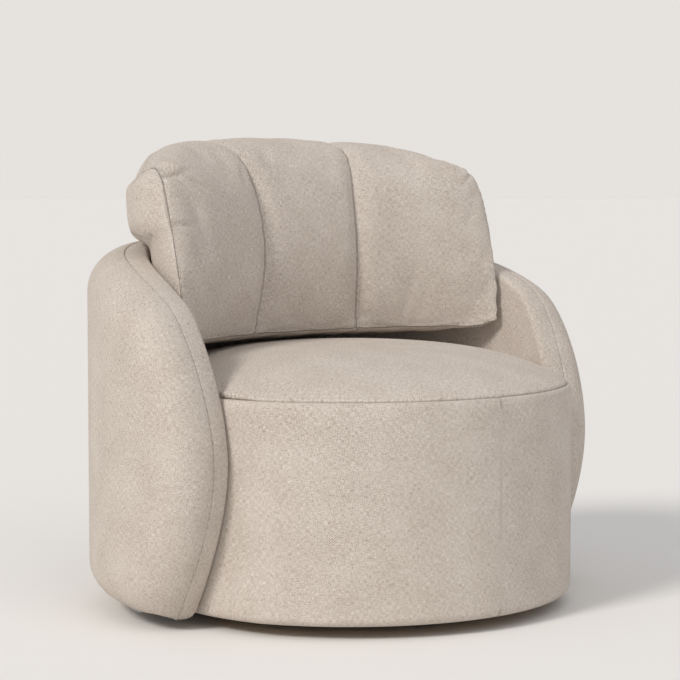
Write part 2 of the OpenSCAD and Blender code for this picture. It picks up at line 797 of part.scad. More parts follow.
// Back panel: it lies along the tub's inner wall, then leans out over the rim
back_gap = 2;
function over_rim(u, w) = let (low = rim_z(2 * u / 3) + rim_clear)
    min(1, max(0, (back_z(u, w) - low) / (cushion_top - low)));
function back_at(c, w) = let (u = across(c, w), x = panel_x(u, w, cushion_back_half_w),
    rise = over_rim(u, w))
    [x, tub_y + sqrt(pow(tub_in_r - back_gap, 2) - pow(x, 2)) + cushion_over * rise * (2 - rise),
        back_z(u, w)];

// Outward direction of a face whose steps along and up are given
function unit(v) = v / norm(v);
function facing(along, up) = unit(cross(along, up));
slope_share = 0.01;
function front_out(c, w) = facing(
    front_at(min(cushion_last, c + slope_share), w) - front_at(max(-cushion_last, c - slope_share), w),
    front_at(c, min(1, w + slope_share)) - front_at(c, max(0, w - slope_share)));
function back_out(c, w) = -facing(
    back_at(min(cushion_last, c + slope_share), w) - back_at(max(-cushion_last, c - slope_share), w),
    back_at(c, min(1, w + slope_share)) - back_at(c, max(0, w - slope_share)));

// Direction in which the band faces at an outline place, and none inside the panel
function band_out(c, w) = let (side = abs(c) < cushion_last ? 0 : sign(c),
    up = w == 1 ? 1 : w == 0 ? -1 : 0) [side, 0, up] / max(1, norm([side, up]));

// The filling draws back from its cover along the top and in its corners
fill_ease = 3;
fill_draw_share = 0.03;
function eased(c, w, off) = off <= cover_t ? 0
    : max(pow(abs(c) / cushion_last, corner_drop_share) * pow(w, height_share),
        pow(w, corner_lift_share));

// A place moved inwards by the same distance from its panel and from the band beside it
function moved_in(p, n, e, off) = p - off * (n + e) / (1 + n * e);
function front_place(c, w, off) = off == 0 ? front_at(c, w)
    : let (k = eased(c, w, off), end = k > 0 ? pow(abs(c) / cushion_last, corner_drop_share) : 0)
    moved_in(front_at(c, w), front_out(c, w), band_out(c, w), off + fill_ease * k)
        + fill_ease * end * [-sign(c) / 2, 1, -6 * k * pow(w, corner_lift_share)];
function back_place(c, w, off) = off == 0 ? back_at(c, w)
    : let (k = eased(c, w, off), q = c * (1 - fill_draw_share * k), v = w * (1 - fill_draw_share * k))
    moved_in(back_at(q, v), back_out(q, v), band_out(c, w), off + fill_ease * k);

top_swell_share = 0.4;
foot_swell_share = 0.7;
side_swell_share = 0.4;
// Band round the cushion: from the front seam to the back seam, swollen at its middle
function band_place(c, w, t, off) = let (f = front_place(c, w, off), b = back_place(c, w, off),
    up = w == 1 ? top_swell_share : w == 0 ? -foot_swell_share : 0,
    side = abs(c) < cushion_last ? 0 : sign(c)
        * (side_swell_share + (1 - side_swell_share) * over_rim(across(c, w), w)))
    f + t * (b - f) + boxing_swell * 4 * t * (1 - t) / max(1, norm([up, side])) * [side, 0, up];

function front_grid(off) = [for (w = row_shares, c = col_shares) front_place(c, w, off)];
function back_grid(off) = [for (w = row_shares, c = col_shares) back_place(c, w, off)];
function edge_ring(rows, cols) = concat(
    [for (i = [0:cols - 1]) [col_shares[i], row_shares[0]]],
    [for (j = [0:rows - 1]) [col_shares[cols], row_shares[j]]],
    [for (i = [cols:-1:1]) [col_shares[i], row_shares[rows]]],
    [for (j = [rows:-1:1]) [col_shares[0], row_shares[j]]]);
cushion_edge = edge_ring(cushion_rows, cushion_cols);
band_shares = [0, 0.25, 0.5, 0.75, 1];

module cushion_fill() {
    off = cover_t + pad_gap;
    count = len(col_shares) * len(row_shares);
    m = len(cushion_edge);
    bands = len(band_shares) - 2;
    loops = concat([outline(cushion_cols, cushion_rows, 0)],
        [for (n = [0:bands - 1]) [for (k = [0:m - 1]) 2 * count + n * m + k]],
        [outline(cushion_cols, cushion_rows, count)]);
    color(foam) polyhedron(concat(front_grid(off), back_grid(off),
        [for (n = [1:bands], p = cushion_edge) band_place(p[0], p[1], band_shares[n], off)]),
        concat(grid_faces(cushion_cols, cushion_rows, 0, false),
            grid_faces(cushion_cols, cushion_rows, count, true),
            [for (n = [0:bands], f = strip(loops[n], loops[n + 1])) f]));
}

module cushion_front_panel() {
    color(fabric) between(front_grid(0), front_grid(cover_t), cushion_cols, cushion_rows);
}

module cushion_back_panel() {
    color(fabric) between(back_grid(cover_t), back_grid(0), cushion_cols, cushion_rows);
}

// Share of the band left free beside each seam
band_in_share = 0.02;

module cushion_boxing() {
    m = len(cushion_edge);
    bands = len(band_shares);
    outer = [for (t = band_shares, p = cushion_edge)
        band_place(p[0], p[1], band_in_share + t * (1 - 2 * band_in_share), 0)];
    inner = [for (t = band_shares, p = cushion_edge)
        band_place(p[0], p[1], band_in_share + t * (1 - 2 * band_in_share), cover_t)];
    function loop(n) = [for (k = [0:m - 1]) n * m + k];
    color(fabric) polyhedron(concat(outer, inner), concat(
        [for (n = [0:bands - 2], f = strip(loop(n), loop(n + 1))) f],
        [for (n = [0:bands - 2], f = strip(loop(bands + n + 1), loop(bands + n))) f],
        strip(loop(bands), loop(0)), strip(loop(bands - 1), loop(2 * bands - 1))));
}

floor_glides();
base_plate();
swivel_lower_plate();
base_screws();
swivel_balls();
swivel_ball_cage();
swivel_upper_plate();
swivel_bolts();
bottom_board();
foot_ring();
seat_posts();
seat_ring();
seat_webbing();
seat_wrap_board();
seat_side_foam();
seat_foam();
seat_topper();
seat_top_cover();
seat_side_cover();
seat_seam_welt();
dust_cover();
tub_bottom_rail();
tub_middle_rail();
tub_top_rail();
tub_uprights();
tub_back_struts();
wing_formers();
tub_inner_board();
tub_outer_board();
tub_inner_foam();
tub_outer_foam();
tub_edge_foam();
tub_inner_cover();
tub_outer_cover();
joining_plates();
joining_screws();
cushion_fill();
cushion_front_panel();
cushion_back_panel();
cushion_boxing();
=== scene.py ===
"""Dresses a swivel tub chair: woven covers with their seams, a simulated back cushion, the frame
and swivel under them, and a plain studio round it. Lengths are in metres, +Z is up and the chair
faces -Y."""
import logging
import math
from dataclasses import dataclass, field
from enum import Enum

import bpy
import numpy as np
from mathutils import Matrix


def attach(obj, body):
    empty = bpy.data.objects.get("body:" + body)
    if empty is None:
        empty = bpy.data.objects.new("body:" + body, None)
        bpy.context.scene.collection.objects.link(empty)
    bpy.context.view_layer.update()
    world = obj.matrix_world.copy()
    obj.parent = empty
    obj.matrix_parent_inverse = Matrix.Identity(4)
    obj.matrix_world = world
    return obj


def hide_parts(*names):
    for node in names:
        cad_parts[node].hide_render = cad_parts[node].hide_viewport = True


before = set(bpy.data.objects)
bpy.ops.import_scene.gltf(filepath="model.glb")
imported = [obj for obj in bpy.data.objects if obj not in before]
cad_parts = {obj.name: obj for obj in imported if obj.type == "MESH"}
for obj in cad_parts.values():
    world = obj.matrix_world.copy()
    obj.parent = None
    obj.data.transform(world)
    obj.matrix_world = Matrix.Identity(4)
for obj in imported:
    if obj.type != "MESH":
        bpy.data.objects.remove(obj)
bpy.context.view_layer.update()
MM = 0.001
CLOTH_UV = "cloth"
log = logging.getLogger("tub chair")


class Body(Enum):
    """The moving bodies of the chair, by the names that the frame gives them."""

    BASE = "base"
    BALLS = "ball_ring"
    CHAIR = "chair"
    CUSHION = "back_cushion"


def linear(code: str) -> tuple[float, float, float, float]:
    """Turns an sRGB hex colour to linear light.

    Args:
        code: Colour as six hex digits.

    Returns:
        Red, green, blue and an alpha of 1.
    """
    parts = [int(code[i:i + 2], 16) / 255 for i in (0, 2, 4)]
    curve = [p / 12.92 if p <= 0.04045 else ((p + 0.055) / 1.055) ** 2.4 for p in parts]
    return (curve[0], curve[1], curve[2], 1.0)


def add_node(tree: bpy.types.NodeTree, kind: str, inputs: dict | None = None,
             **settings: object) -> bpy.types.Node:
    """Adds a node with its settings, input values and links.

    Args:
        tree: Node tree that gets the node.
        kind: Node's type name.
        inputs: Value or source socket of each input, by the input's name or number.
        settings: Properties of the node itself.

    Returns:
        The new node.
    """
    node = tree.nodes.new(kind)
    for name, value in settings.items():
        setattr(node, name, value)
    for key, value in (inputs or {}).items():
        if isinstance(value, bpy.types.NodeSocket):
            tree.links.new(value, node.inputs[key])
        else:
            node.inputs[key].default_value = value
    return node


def ramp(tree: bpy.types.NodeTree, factor: bpy.types.NodeSocket,
         stops: list[tuple[float, str]]) -> bpy.types.Node:
    """Adds a colour ramp.

    Args:
        tree: Node tree that gets the ramp.
        factor: Socket that drives it.
        stops: Position and hex colour of each stop.

    Returns:
        The ramp node.
    """
    node = add_node(tree, "ShaderNodeValToRGB", {"Fac": factor})
    elements = node.color_ramp.elements
    while len(elements) < len(stops):
        elements.new(1.0)
    for element, (place, code) in zip(elements, stops):
        element.position = place
        element.color = linear(code)
    return node


def new_material(name: str) -> tuple[bpy.types.Material, bpy.types.NodeTree, bpy.types.Node]:
    """Makes an empty node material.

    Args:
        name: Name of the finish.

    Returns:
        The material, its tree and its shader node.
    """
    material = bpy.data.materials.new(name)
    material.use_nodes = True
    tree = material.node_tree
    return material, tree, tree.nodes["Principled BSDF"]


@dataclass(frozen=True)
class MelangeWeave:
    """Polyester chenille, woven from flecked yarns: matt, soft, pale beige with grey-brown and
    cream fibres. The yarn is drawn coarser than the real one, so that it shows."""

    name: str = "melange_chenille"
    dark: str = "A29386"
    middle: str = "CFC4B9"
    light: str = "ECE5DC"
    yarn_mm: float = 1.9
    fleck_mm: float = 6.5
    cloud_mm: float = 60.0
    relief_mm: float = 0.55
    # Colour of the painted shade in the seams' creases.
    shadow: str = "5E5144"
    crease_mm: float = 1.0
    ridge_mm: float = 1.7
    ridge_place_mm: float = -3.0
    seam_relief_mm: float = 1.2

    def seam_profile(self, tree: bpy.types.NodeTree, name: str, place: float,
                     width: float) -> bpy.types.NodeSocket:
        """A bell over the distance from a seam: 1 at its place beside the seam, 0 away from it.

        Args:
            tree: The material's tree.
            name: Attribute that holds the distance from the seam, in metres.
            place: Distance at which the bell stands, in metres.
            width: Its half width in metres.

        Returns:
            The bell's socket.
        """
        gap = add_node(tree, "ShaderNodeAttribute", attribute_name=name)
        moved = add_node(tree, "ShaderNodeMath", {0: gap.outputs["Fac"], 1: place},
                         operation="SUBTRACT")
        scaled = add_node(tree, "ShaderNodeMath", {0: moved.outputs[0], 1: width},
                          operation="DIVIDE")
        square = add_node(tree, "ShaderNodeMath", {0: scaled.outputs[0], 1: scaled.outputs[0]},
                          operation="MULTIPLY")
        minus = add_node(tree, "ShaderNodeMath", {0: square.outputs[0], 1: -1.0},
                         operation="MULTIPLY")
        bell = add_node(tree, "ShaderNodeMath", {0: minus.outputs[0]}, operation="EXPONENT")
        close = add_node(tree, "ShaderNodeAttribute", attribute_name=name + "_near")
        return add_node(tree, "ShaderNodeMath", {0: bell.outputs[0], 1: close.outputs["Fac"]},
                        operation="MULTIPLY").outputs[0]

    def material(self, seams: tuple[tuple[str, float], ...] = ()) -> bpy.types.Material:
        """Builds the weave on the piece's own cloth map, which is in metres.

        Args:
            seams: Attributes with the distance from a seam, which is drawn as a crease, and how
            much painted shade darkens the cloth in that crease.

        Returns:
            The fabric's material.
        """
        material, tree, shader = new_material(self.name)
        cloth = add_node(tree, "ShaderNodeUVMap", uv_map=CLOTH_UV)
        mm = add_node(tree, "ShaderNodeVectorMath",
                      {0: cloth.outputs["UV"], 1: (1000, 1000, 1000)}, operation="MULTIPLY")
        drift = add_node(tree, "ShaderNodeTexNoise",
                         {"Vector": mm.outputs[0], "Scale": 1 / 4, "Detail": 2})
        shift = add_node(tree, "ShaderNodeVectorMath",
                         {0: drift.outputs["Color"], 1: (1.1, 1.1, 0)}, operation="MULTIPLY")
        yarn = add_node(tree, "ShaderNodeVectorMath",
                        {0: mm.outputs[0], 1: shift.outputs[0]}, operation="ADD")
        along = add_node(tree, "ShaderNodeSeparateXYZ", {0: yarn.outputs[0]})
        waves = []
        for axis in ("X", "Y"):
            turn = add_node(tree, "ShaderNodeMath",
                            {0: along.outputs[axis], 1: math.pi / self.yarn_mm},
                            operation="MULTIPLY")
            waves.append(add_node(tree, "ShaderNodeMath", {0: turn.outputs[0]}, operation="SINE"))
        weave = add_node(tree, "ShaderNodeMath", {0: waves[0].outputs[0], 1: waves[1].outputs[0]},
                         operation="MULTIPLY")
        nubs = add_node(tree, "ShaderNodeTexVoronoi",
                        {"Vector": yarn.outputs[0], "Scale": 1 / 2.3, "Smoothness": 0.6},
                        feature="SMOOTH_F1")
        flecks = []
        for stretch in ((self.fleck_mm, 1.2), (1.2, self.fleck_mm)):
            squeezed = add_node(tree, "ShaderNodeVectorMath",
                                {0: mm.outputs[0], 1: (1 / stretch[0], 1 / stretch[1], 1)},
                                operation="MULTIPLY")
            flecks.append(add_node(tree, "ShaderNodeTexNoise",
                                   {"Vector": squeezed.outputs[0], "Scale": 1.0, "Detail": 3,
                                    "Roughness": 0.65}))
        both = add_node(tree, "ShaderNodeMath",
                        {0: flecks[0].outputs["Fac"], 1: flecks[1].outputs["Fac"]},
                        operation="ADD")
        half = add_node(tree, "ShaderNodeMath", {0: both.outputs[0], 1: 0.5},
                        operation="MULTIPLY")
        cloud = add_node(tree, "ShaderNodeTexNoise",
                         {"Vector": mm.outputs[0], "Scale": 1 / self.cloud_mm, "Detail": 2})
        clouded = add_node(tree, "ShaderNodeMath",
                           {0: cloud.outputs["Fac"], 1: 0.10, 2: half.outputs[0]},
                           operation="MULTIPLY_ADD")
        raised = add_node(tree, "ShaderNodeMath",
                          {0: weave.outputs[0], 1: 0.035, 2: clouded.outputs[0]},
                          operation="MULTIPLY_ADD")
        tint = ramp(tree, raised.outputs[0],
                    [(0.43, self.dark), (0.53, self.middle), (0.57, self.middle),
                     (0.68, self.light)])
        relief = add_node(tree, "ShaderNodeMath",
                          {0: nubs.outputs["Distance"], 1: -0.8, 2: weave.outputs[0]},
                          operation="MULTIPLY_ADD")
        fuzz = add_node(tree, "ShaderNodeTexNoise",
                        {"Vector": mm.outputs[0], "Scale": 1.1, "Detail": 4, "Roughness": 0.7})
        height = add_node(tree, "ShaderNodeMath",
                          {0: fuzz.outputs["Fac"], 1: 1.4, 2: relief.outputs[0]},
                          operation="MULTIPLY_ADD")
        bump = add_node(tree, "ShaderNodeBump",
                        {"Height": height.outputs[0], "Distance": self.relief_mm * MM,
                         "Strength": 0.75})
        colour = tint.outputs["Color"]
        for name, crease_shade_strength in seams:
            crease = self.seam_profile(tree, name, 0.0, self.crease_mm * MM)
            ridge = self.seam_profile(tree, name, self.ridge_place_mm * MM, self.ridge_mm * MM)
            step = add_node(tree, "ShaderNodeMath", {0: crease, 1: -1.3, 2: ridge},
                            operation="MULTIPLY_ADD")
            bump = add_node(tree, "ShaderNodeBump",
                            {"Height": step.outputs[0], "Distance": self.seam_relief_mm * MM,
                             "Strength": 1.0, "Normal": bump.outputs["Normal"]})
            # Painted shade: the crease's bell mixes the cloth towards the shadow colour, as
            # strongly as the seam's strength says.
            shade = add_node(tree, "ShaderNodeMath", {0: crease, 1: crease_shade_strength},
                             operation="MULTIPLY")
            dim = add_node(tree, "ShaderNodeMix", {0: shade.outputs[0], 6: colour,
                                                   7: linear(self.shadow)}, data_type="RGBA")
            colour = dim.outputs[2]
        tree.links.new(colour, shader.inputs["Base Color"])
        tree.links.new(bump.outputs["Normal"], shader.inputs["Normal"])
        shader.inputs["Roughness"].default_value = 0.95
        shader.inputs["Specular IOR Level"].default_value = 0.2
        shader.inputs["Sheen Weight"].default_value = 0.25
        shader.inputs["Sheen Roughness"].default_value = 0.55
        shader.inputs["Sheen Tint"].default_value = linear("F3EADF")
        return material


@dataclass(frozen=True)
class Grained:
    """A plain material with a grain: raw plywood, bent board, webbing, zinc plate, powder coat,
    felt or moulded plastic, told apart by colour, grain size, roughness and metal."""

    name: str
    dark: str
    light: str
    grain_mm: tuple[float, float, float]
    roughness: float = 0.7
    metallic: float = 0.0
    relief_mm: float = 0.1

    def material(self) -> bpy.types.Material:
        """Builds the grain on object coordinates.

        Returns:
            The material.
        """
        material, tree, shader = new_material(self.name)
        place = add_node(tree, "ShaderNodeTexCoord")
        scaled = add_node(tree, "ShaderNodeVectorMath",
                          {0: place.outputs["Object"],
                           1: tuple(1000 / g for g in self.grain_mm)}, operation="MULTIPLY")
        grain = add_node(tree, "ShaderNodeTexNoise",
                         {"Vector": scaled.outputs[0], "Scale": 1.0, "Detail": 5,
                          "Roughness": 0.6})
        tint = ramp(tree, grain.outputs["Fac"], [(0.3, self.dark), (0.7, self.light)])
        rough = add_node(tree, "ShaderNodeMapRange",
                         {"Value": grain.outputs["Fac"], "To Min": self.roughness - 0.08,
                          "To Max": min(1.0, self.roughness + 0.08)})
        bump = add_node(tree, "ShaderNodeBump",
                        {"Height": grain.outputs["Fac"], "Distance": self.relief_mm * MM,
                         "Strength": 0.6})
        tree.links.new(tint.outputs["Color"], shader.inputs["Base Color"])
        tree.links.new(rough.outputs["Result"], shader.inputs["Roughness"])
        tree.links.new(bump.outputs["Normal"], shader.inputs["Normal"])
        shader.inputs["Metallic"].default_value = self.metallic
        return material


PLYWOOD = Grained("raw_birch_plywood", "B58F5F", "DCC195", (14, 14, 1.5), 0.65, 0, 0.15)
FIBREBOARD = Grained("bent_fibreboard", "7F6246", "A98A66", (2, 2, 2), 0.8, 0, 0.1)
WEBBING = Grained("elastic_webbing", "1B1A1A", "3A3837", (1.5, 1.5, 1.5), 0.85, 0, 0.3)
DUST_CLOTH = Grained("non_woven_dust_cloth", "0D0D0E", "1C1C1E", (0.8, 0.8, 0.8), 0.9, 0, 0.1)
ZINC_STEEL = Grained("zinc_plated_steel", "8E9196", "B4B7BB", (6, 6, 6), 0.35, 1, 0.02)
POWDER_COAT = Grained("black_powder_coat", "0C0C0D", "1A1A1B", (0.9, 0.9, 0.9), 0.55, 0, 0.05)
FELT = Grained("grey_felt", "2B2B2C", "4A4A4B", (1.2, 1.2, 1.2), 0.95, 0, 0.4)
NYLON = Grained("moulded_nylon", "151516", "202021", (3, 3, 3), 0.45, 0, 0.02)
THREAD = Grained("sewing_thread", "CFC4B6", "EFE7DC", (0.6, 0.6, 0.6), 0.7, 0, 0.1)


def add_object(name: str, data: bpy.types.ID) -> bpy.types.Object:
    """Adds an object with its data to the scene."""
    item = bpy.data.objects.new(name, data)
    bpy.context.scene.collection.objects.link(item)
    return item


def mesh_piece(name: str, points: np.ndarray, quads: np.ndarray, cloth: np.ndarray | None,
               body: Body, material: bpy.types.Material) -> bpy.types.Object:
    """Puts arrays into a smooth-shaded mesh that rides on a body.

    Args:
        name: Name of the piece.
        points: Vertices, one row each.
        quads: Four vertex numbers a face, turned so that the face looks outwards.
        cloth: Place of each vertex on the flat cloth in metres, or None.
        body: Body that carries the piece.
        material: Its finish.

    Returns:
        The new object.
    """
    mesh = bpy.data.meshes.new(name)
    mesh.vertices.add(len(points))
    mesh.vertices.foreach_set("co", np.asarray(points, np.float32).ravel())
    mesh.loops.add(quads.size)
    mesh.loops.foreach_set("vertex_index", quads.astype(np.int32).ravel())
    mesh.polygons.add(len(quads))
    mesh.polygons.foreach_set("loop_start", np.arange(0, quads.size, quads.shape[1]))
    mesh.polygons.foreach_set("use_smooth", np.ones(len(quads), bool))
    mesh.update(calc_edges=True)
    if cloth is not None:
        layer = mesh.uv_layers.new(name=CLOTH_UV)
        layer.uv.foreach_set("vector", cloth[quads.ravel()].astype(np.float32).ravel())
    mesh.materials.append(material)
    piece = add_object(name, mesh)
    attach(piece, body.value)
    return piece


def grid_quads(rows: int, cols: int, start: int = 0, wrap: bool = False) -> np.ndarray:
    """Faces of a grid of rows by cols vertices, numbered row by row.

    Args:
        rows: Number of vertex rows.
        cols: Number of vertex columns.
        start: Number of the first vertex.
        wrap: Whether the last column joins the first.

    Returns:
        Four vertex numbers a face.
    """
    j, i = np.meshgrid(np.arange(rows - 1), np.arange(cols if wrap else cols - 1), indexing="ij")
    right = (i + 1) % cols
    return np.stack([j * cols + i, j * cols + right, (j + 1) * cols + right, (j + 1) * cols + i],
                    axis=-1).reshape(-1, 4) + start


def give_thickness(piece: bpy.types.Object, thickness: float) -> None:
    """Makes a sheet of cloth a closed skin, thickened on its inner side.

    Args:
        piece: The sheet.
        thickness: Thickness in metres.
    """
    solid = piece.modifiers.new("cloth", "SOLIDIFY")
    solid.thickness = thickness
    solid.offset = -1.0


def along(path: np.ndarray, count: int) -> np.ndarray:
    """Spreads points evenly along a path.

    Args:
        path: Points of the path.
        count: Number of points wanted.

    Returns:
        The evenly spread points.
    """
    lengths = run_along(path)
    spread = np.linspace(0, lengths[-1], count)
    return np.stack([np.interp(spread, lengths, path[:, k]) for k in range(path.shape[1])], -1)


def smoothed(values: np.ndarray, sigma: float, step: float) -> np.ndarray:
    """Smooths evenly spread samples with a bell curve, holding both ends.

    Args:
        values: Samples, one row each.
        sigma: Width of the bell in metres.
        step: Distance between samples in metres.

    Returns:
        The smoothed samples.
    """
    reach = int(4 * sigma / step)
    bell = np.exp(-0.5 * (np.arange(-reach, reach + 1) * step / sigma) ** 2)
    bell /= bell.sum()
    before = 2 * values[:1] - values[reach:0:-1]
    after = 2 * values[-1:] - values[-2:-reach - 2:-1]
    padded = np.concatenate([before, values, after])
    return np.stack([np.convolve(padded[:, k], bell, "valid") for k in range(values.shape[1])], -1)


def bell(gap: np.ndarray, width: float) -> np.ndarray:
    """A bell over a gap: 1 where there is none, and 1/e at the width."""
    return np.exp(-(gap / width) ** 2)


def eased(share: np.ndarray) -> np.ndarray:
    """Turns an even rise from 0 to 1 into one that starts and ends level."""
    return share * share * (3 - 2 * share)


def run_along(path: np.ndarray) -> np.ndarray:
    """Distance of each point of a path from the path's start, measured along it."""
    return np.r_[0, np.cumsum(np.linalg.norm(np.diff(path, axis=0), axis=1))]


def read_rows(items: bpy.types.bpy_prop_collection, name: str, width: int = 1,
              kind: type = float) -> np.ndarray:
    """Reads one property of all items of a mesh.

    Args:
        items: Vertices, edges, loops or faces.
        name: The property.
        width: Number of values an item.
        kind: Kind of number.

    Returns:
        One row an item, or a flat array where the width is 1.
    """
    values = np.zeros(len(items) * width, kind)
    items.foreach_get(name, values)
    return values.reshape(-1, width) if width > 1 else values


@dataclass
class TubShell:
    """The padded tub: an outer cover rolled round its edge into a seam, and an inner cover that
    meets it there. Both are laid out on the tub's unrolled face and wrapped round it."""

    weave: bpy.types.Material
    radius: float = 0.430
    wall: float = 0.095
    centre_y: float = -0.060
    rim: float = 0.570
    rim_fall: float = 0.047
    wing_fall: float = 0.045
    wing_round: float = 0.014
    reach_a: float = 14.0
    draw_a: float = 12.0
    mid_h: float = 0.250
    foot: float = 0.020
    edge: float = 0.058
    lip: float = 0.010
    tuck: float = 0.0024
    tuck_depth: float = 0.006
    cloth_t: float = 0.0014
    level_top: float = 0.16
    level_span: float = 0.14
    side_rows: int = 60
    top_cols: int = 170

    @property
    def wing_top(self) -> float:
        """Height where the rim ends and the wing's front edge begins."""
        return self.rim - self.rim_fall - self.wing_fall

    def wing_angle(self, z: np.ndarray) -> np.ndarray:
        """Angle of a wing's front edge from straight back, by height: a reach that draws back
        towards the foot and the top as a power of the distance from its middle, with a last
        sharp rounding into the rim. Radians."""
        half = (self.wing_top - self.foot) / 2
        share = np.clip((z - self.foot) / (self.wing_top - self.foot), 0, 1)
        turn = 90 + self.reach_a - self.draw_a * np.abs((z - self.mid_h) / half) ** 1.8
        return np.radians(turn) - self.wing_round / self.radius * share ** 12

    def rim_height(self, u: np.ndarray) -> np.ndarray:
        """Height of the rim by its share round: a parabola with a sixth-power fall at the ends."""
        return self.rim - self.rim_fall * u ** 2 - self.wing_fall * u ** 6

    def outline(self) -> np.ndarray:
        """Outline of the unrolled face from the left foot over the rim to the right foot: the
        wing's edge, the rim and the wing's edge again, smoothed where they meet.

        Returns:
            Evenly spread places: distance round the outer face, and height.
        """
        z = np.linspace(self.foot, self.wing_top, 200)
        side = np.stack([-self.wing_angle(z) * self.radius, z], -1)
        u = np.linspace(-1, 1, 400)[1:-1]
        top = np.stack([u * self.wing_angle(np.array(self.wing_top)) * self.radius,
                        self.rim_height(u)], -1)
        path = along(np.concatenate([side, top, side[::-1] * [-1, 1]]), 1200)
        step = np.linalg.norm(path[1] - path[0])
        return smoothed(path, 0.016, step)

    def border(self) -> tuple[np.ndarray, np.ndarray]:
        """Samples of the outline and, at each, the direction in which an inset moves: the inward
        normal, turned level at the feet and lengthened so that the inset stays true.

        Returns:
            Places and inset directions.
        """
        path = self.outline()
        rise = np.interp(self.wing_top - 0.006, path[:600, 1], np.arange(600) / 1199)
        spread = np.concatenate([np.linspace(0, rise, self.side_rows + 1),
                                 np.linspace(rise, 1 - rise, self.top_cols + 1)[1:-1],
                                 np.linspace(1 - rise, 1, self.side_rows + 1)]) * 1199
        place = np.stack([np.interp(spread, np.arange(1200), path[:, k]) for k in (0, 1)], -1)
        step = np.gradient(path, axis=0)
        step = np.stack([np.interp(spread, np.arange(1200), step[:, k]) for k in (0, 1)], -1)
        step /= np.linalg.norm(step, axis=1, keepdims=True)
        normal = np.stack([step[:, 1], -step[:, 0]], -1)
        level = np.stack([1 / np.where(np.abs(normal[:, 0]) < 0.2, 1, normal[:, 0]),
                          np.zeros(len(normal))], -1)
        low = eased(np.clip((self.level_top - place[:, 1]) / self.level_span, 0, 1))[:, None]
        return place, normal * (1 - low) + level * low

    def wrap(self, face: np.ndarray, depth: np.ndarray) -> np.ndarray:
        """Wraps unrolled places round the tub: the distance round becomes an angle, and the
        depth shortens the radius.

        Args:
            face: Places on the unrolled face.
            depth: Depth of each below the outer face.

        Returns:
            Points in the chair's frame.
        """
        a = face[..., 0] / self.radius
        r = self.radius - depth
        return np.stack([r * np.sin(a), self.centre_y + r * np.cos(a), face[..., 1]], -1)

    def patch(self, left: np.ndarray, top: np.ndarray) -> np.ndarray:
        """Fills the face inside the rolled edge: each place is the sum of what its row's and its
        column's ends give, less what the four corners give twice.

        Args:
            left: Places up the left side.
            top: Places along the top, from the left corner to the right one.

        Returns:
            Grid of places, from the foot up and from left to right.
        """
        right = left * [-1, 1]
        bottom = np.stack([np.linspace(left[0, 0], right[0, 0], len(top)),
                           np.full(len(top), left[0, 1])], -1)
        v = np.linspace(0, 1, len(left))[:, None, None]
        u = np.linspace(0, 1, len(top))[None, :, None]
        rows = (1 - u) * left[:, None] + u * right[:, None]
        cols = (1 - v) * bottom[None] + v * top[None]
        corners = ((1 - u) * (1 - v) * left[0] + u * (1 - v) * right[0]
                   + (1 - u) * v * top[0] + u * v * top[-1])
        return rows + cols - corners

    def cover(self, name: str, section: np.ndarray, face_depth: float,
              bottom: np.ndarray, hides: tuple[str, ...]) -> bpy.types.Object:
        """Builds a cover: a ribbon that carries the section along the outline, the face inside
        it, and a strip turned under the foot.

        Args:
            name: Name of the piece.
            section: Inset and depth from the seam to the start of the face.
            face_depth: Depth of the face.
            bottom: Depths of the strip under the foot.
            hides: CAD nodes that the cover takes the place of.

        Returns:
            The cover.
        """
        place, inset = self.border()
        count = len(place)
        ribbon = place[None] + section[:, 0, None, None] * inset[None]
        depth = np.repeat(section[:, 1, None], count, 1)
        reach = run_along(section)
        cloth = ribbon[-1][None] - (reach[-1] - reach)[:, None, None] * inset[None]
        sides, cols = self.side_rows + 1, self.top_cols + 1
        face = self.patch(ribbon[-1, :sides], ribbon[-1, sides - 1:count - sides + 1])
        number = (np.arange(face.shape[0] * face.shape[1]).reshape(face.shape[:2])
                  + (len(section) - 1) * count)
        ring = np.concatenate([number[:, 0], number[-1, 1:-1], number[::-1, -1]])
        quads = [grid_quads(len(section) - 1, count)]
        last = np.arange(count) + (len(section) - 2) * count
        quads.append(np.stack([last[:-1], last[1:], ring[1:], ring[:-1]], -1))
        quads.append(grid_quads(face.shape[0], cols, number[0, 0])[:, ::-1])
        flat = np.concatenate([ribbon[:-1].reshape(-1, 2), face.reshape(-1, 2)])
        deep = np.concatenate([depth[:-1].ravel(), np.full(face[..., 0].size, face_depth)])
        deep = self.rolled_under(flat[:, 1], deep, face_depth)
        cloth = np.concatenate([cloth[:-1].reshape(-1, 2), face.reshape(-1, 2)])
        edge = np.concatenate([np.arange(len(section) - 1) * count, number[0],
                               (np.arange(len(section) - 1) * count + count - 1)[::-1]])
        points = self.wrap(flat, deep)
        for k, under in enumerate(bottom):
            first = len(points)
            drop = abs(under - bottom[0])
            strip = self.wrap(np.stack([flat[edge, 0], np.full(len(edge), self.foot)], -1), under)
            points = np.concatenate([points, strip])
            cloth = np.concatenate([cloth, cloth[edge] - [0, drop + 0.001]])
            new = np.arange(first, first + len(edge))
            old = edge if k == 0 else np.arange(first - len(edge), first)
            quads.append(np.stack([old[:-1], new[:-1], new[1:], old[1:]], -1)[:, ::-1])
        faces = np.concatenate(quads)
        if face_depth > self.edge:
            faces = faces[:, ::-1]
        piece = mesh_piece(name, points, faces, cloth, Body.CHAIR, self.weave)
        give_thickness(piece, self.cloth_t)
        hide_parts(*hides)
        return piece

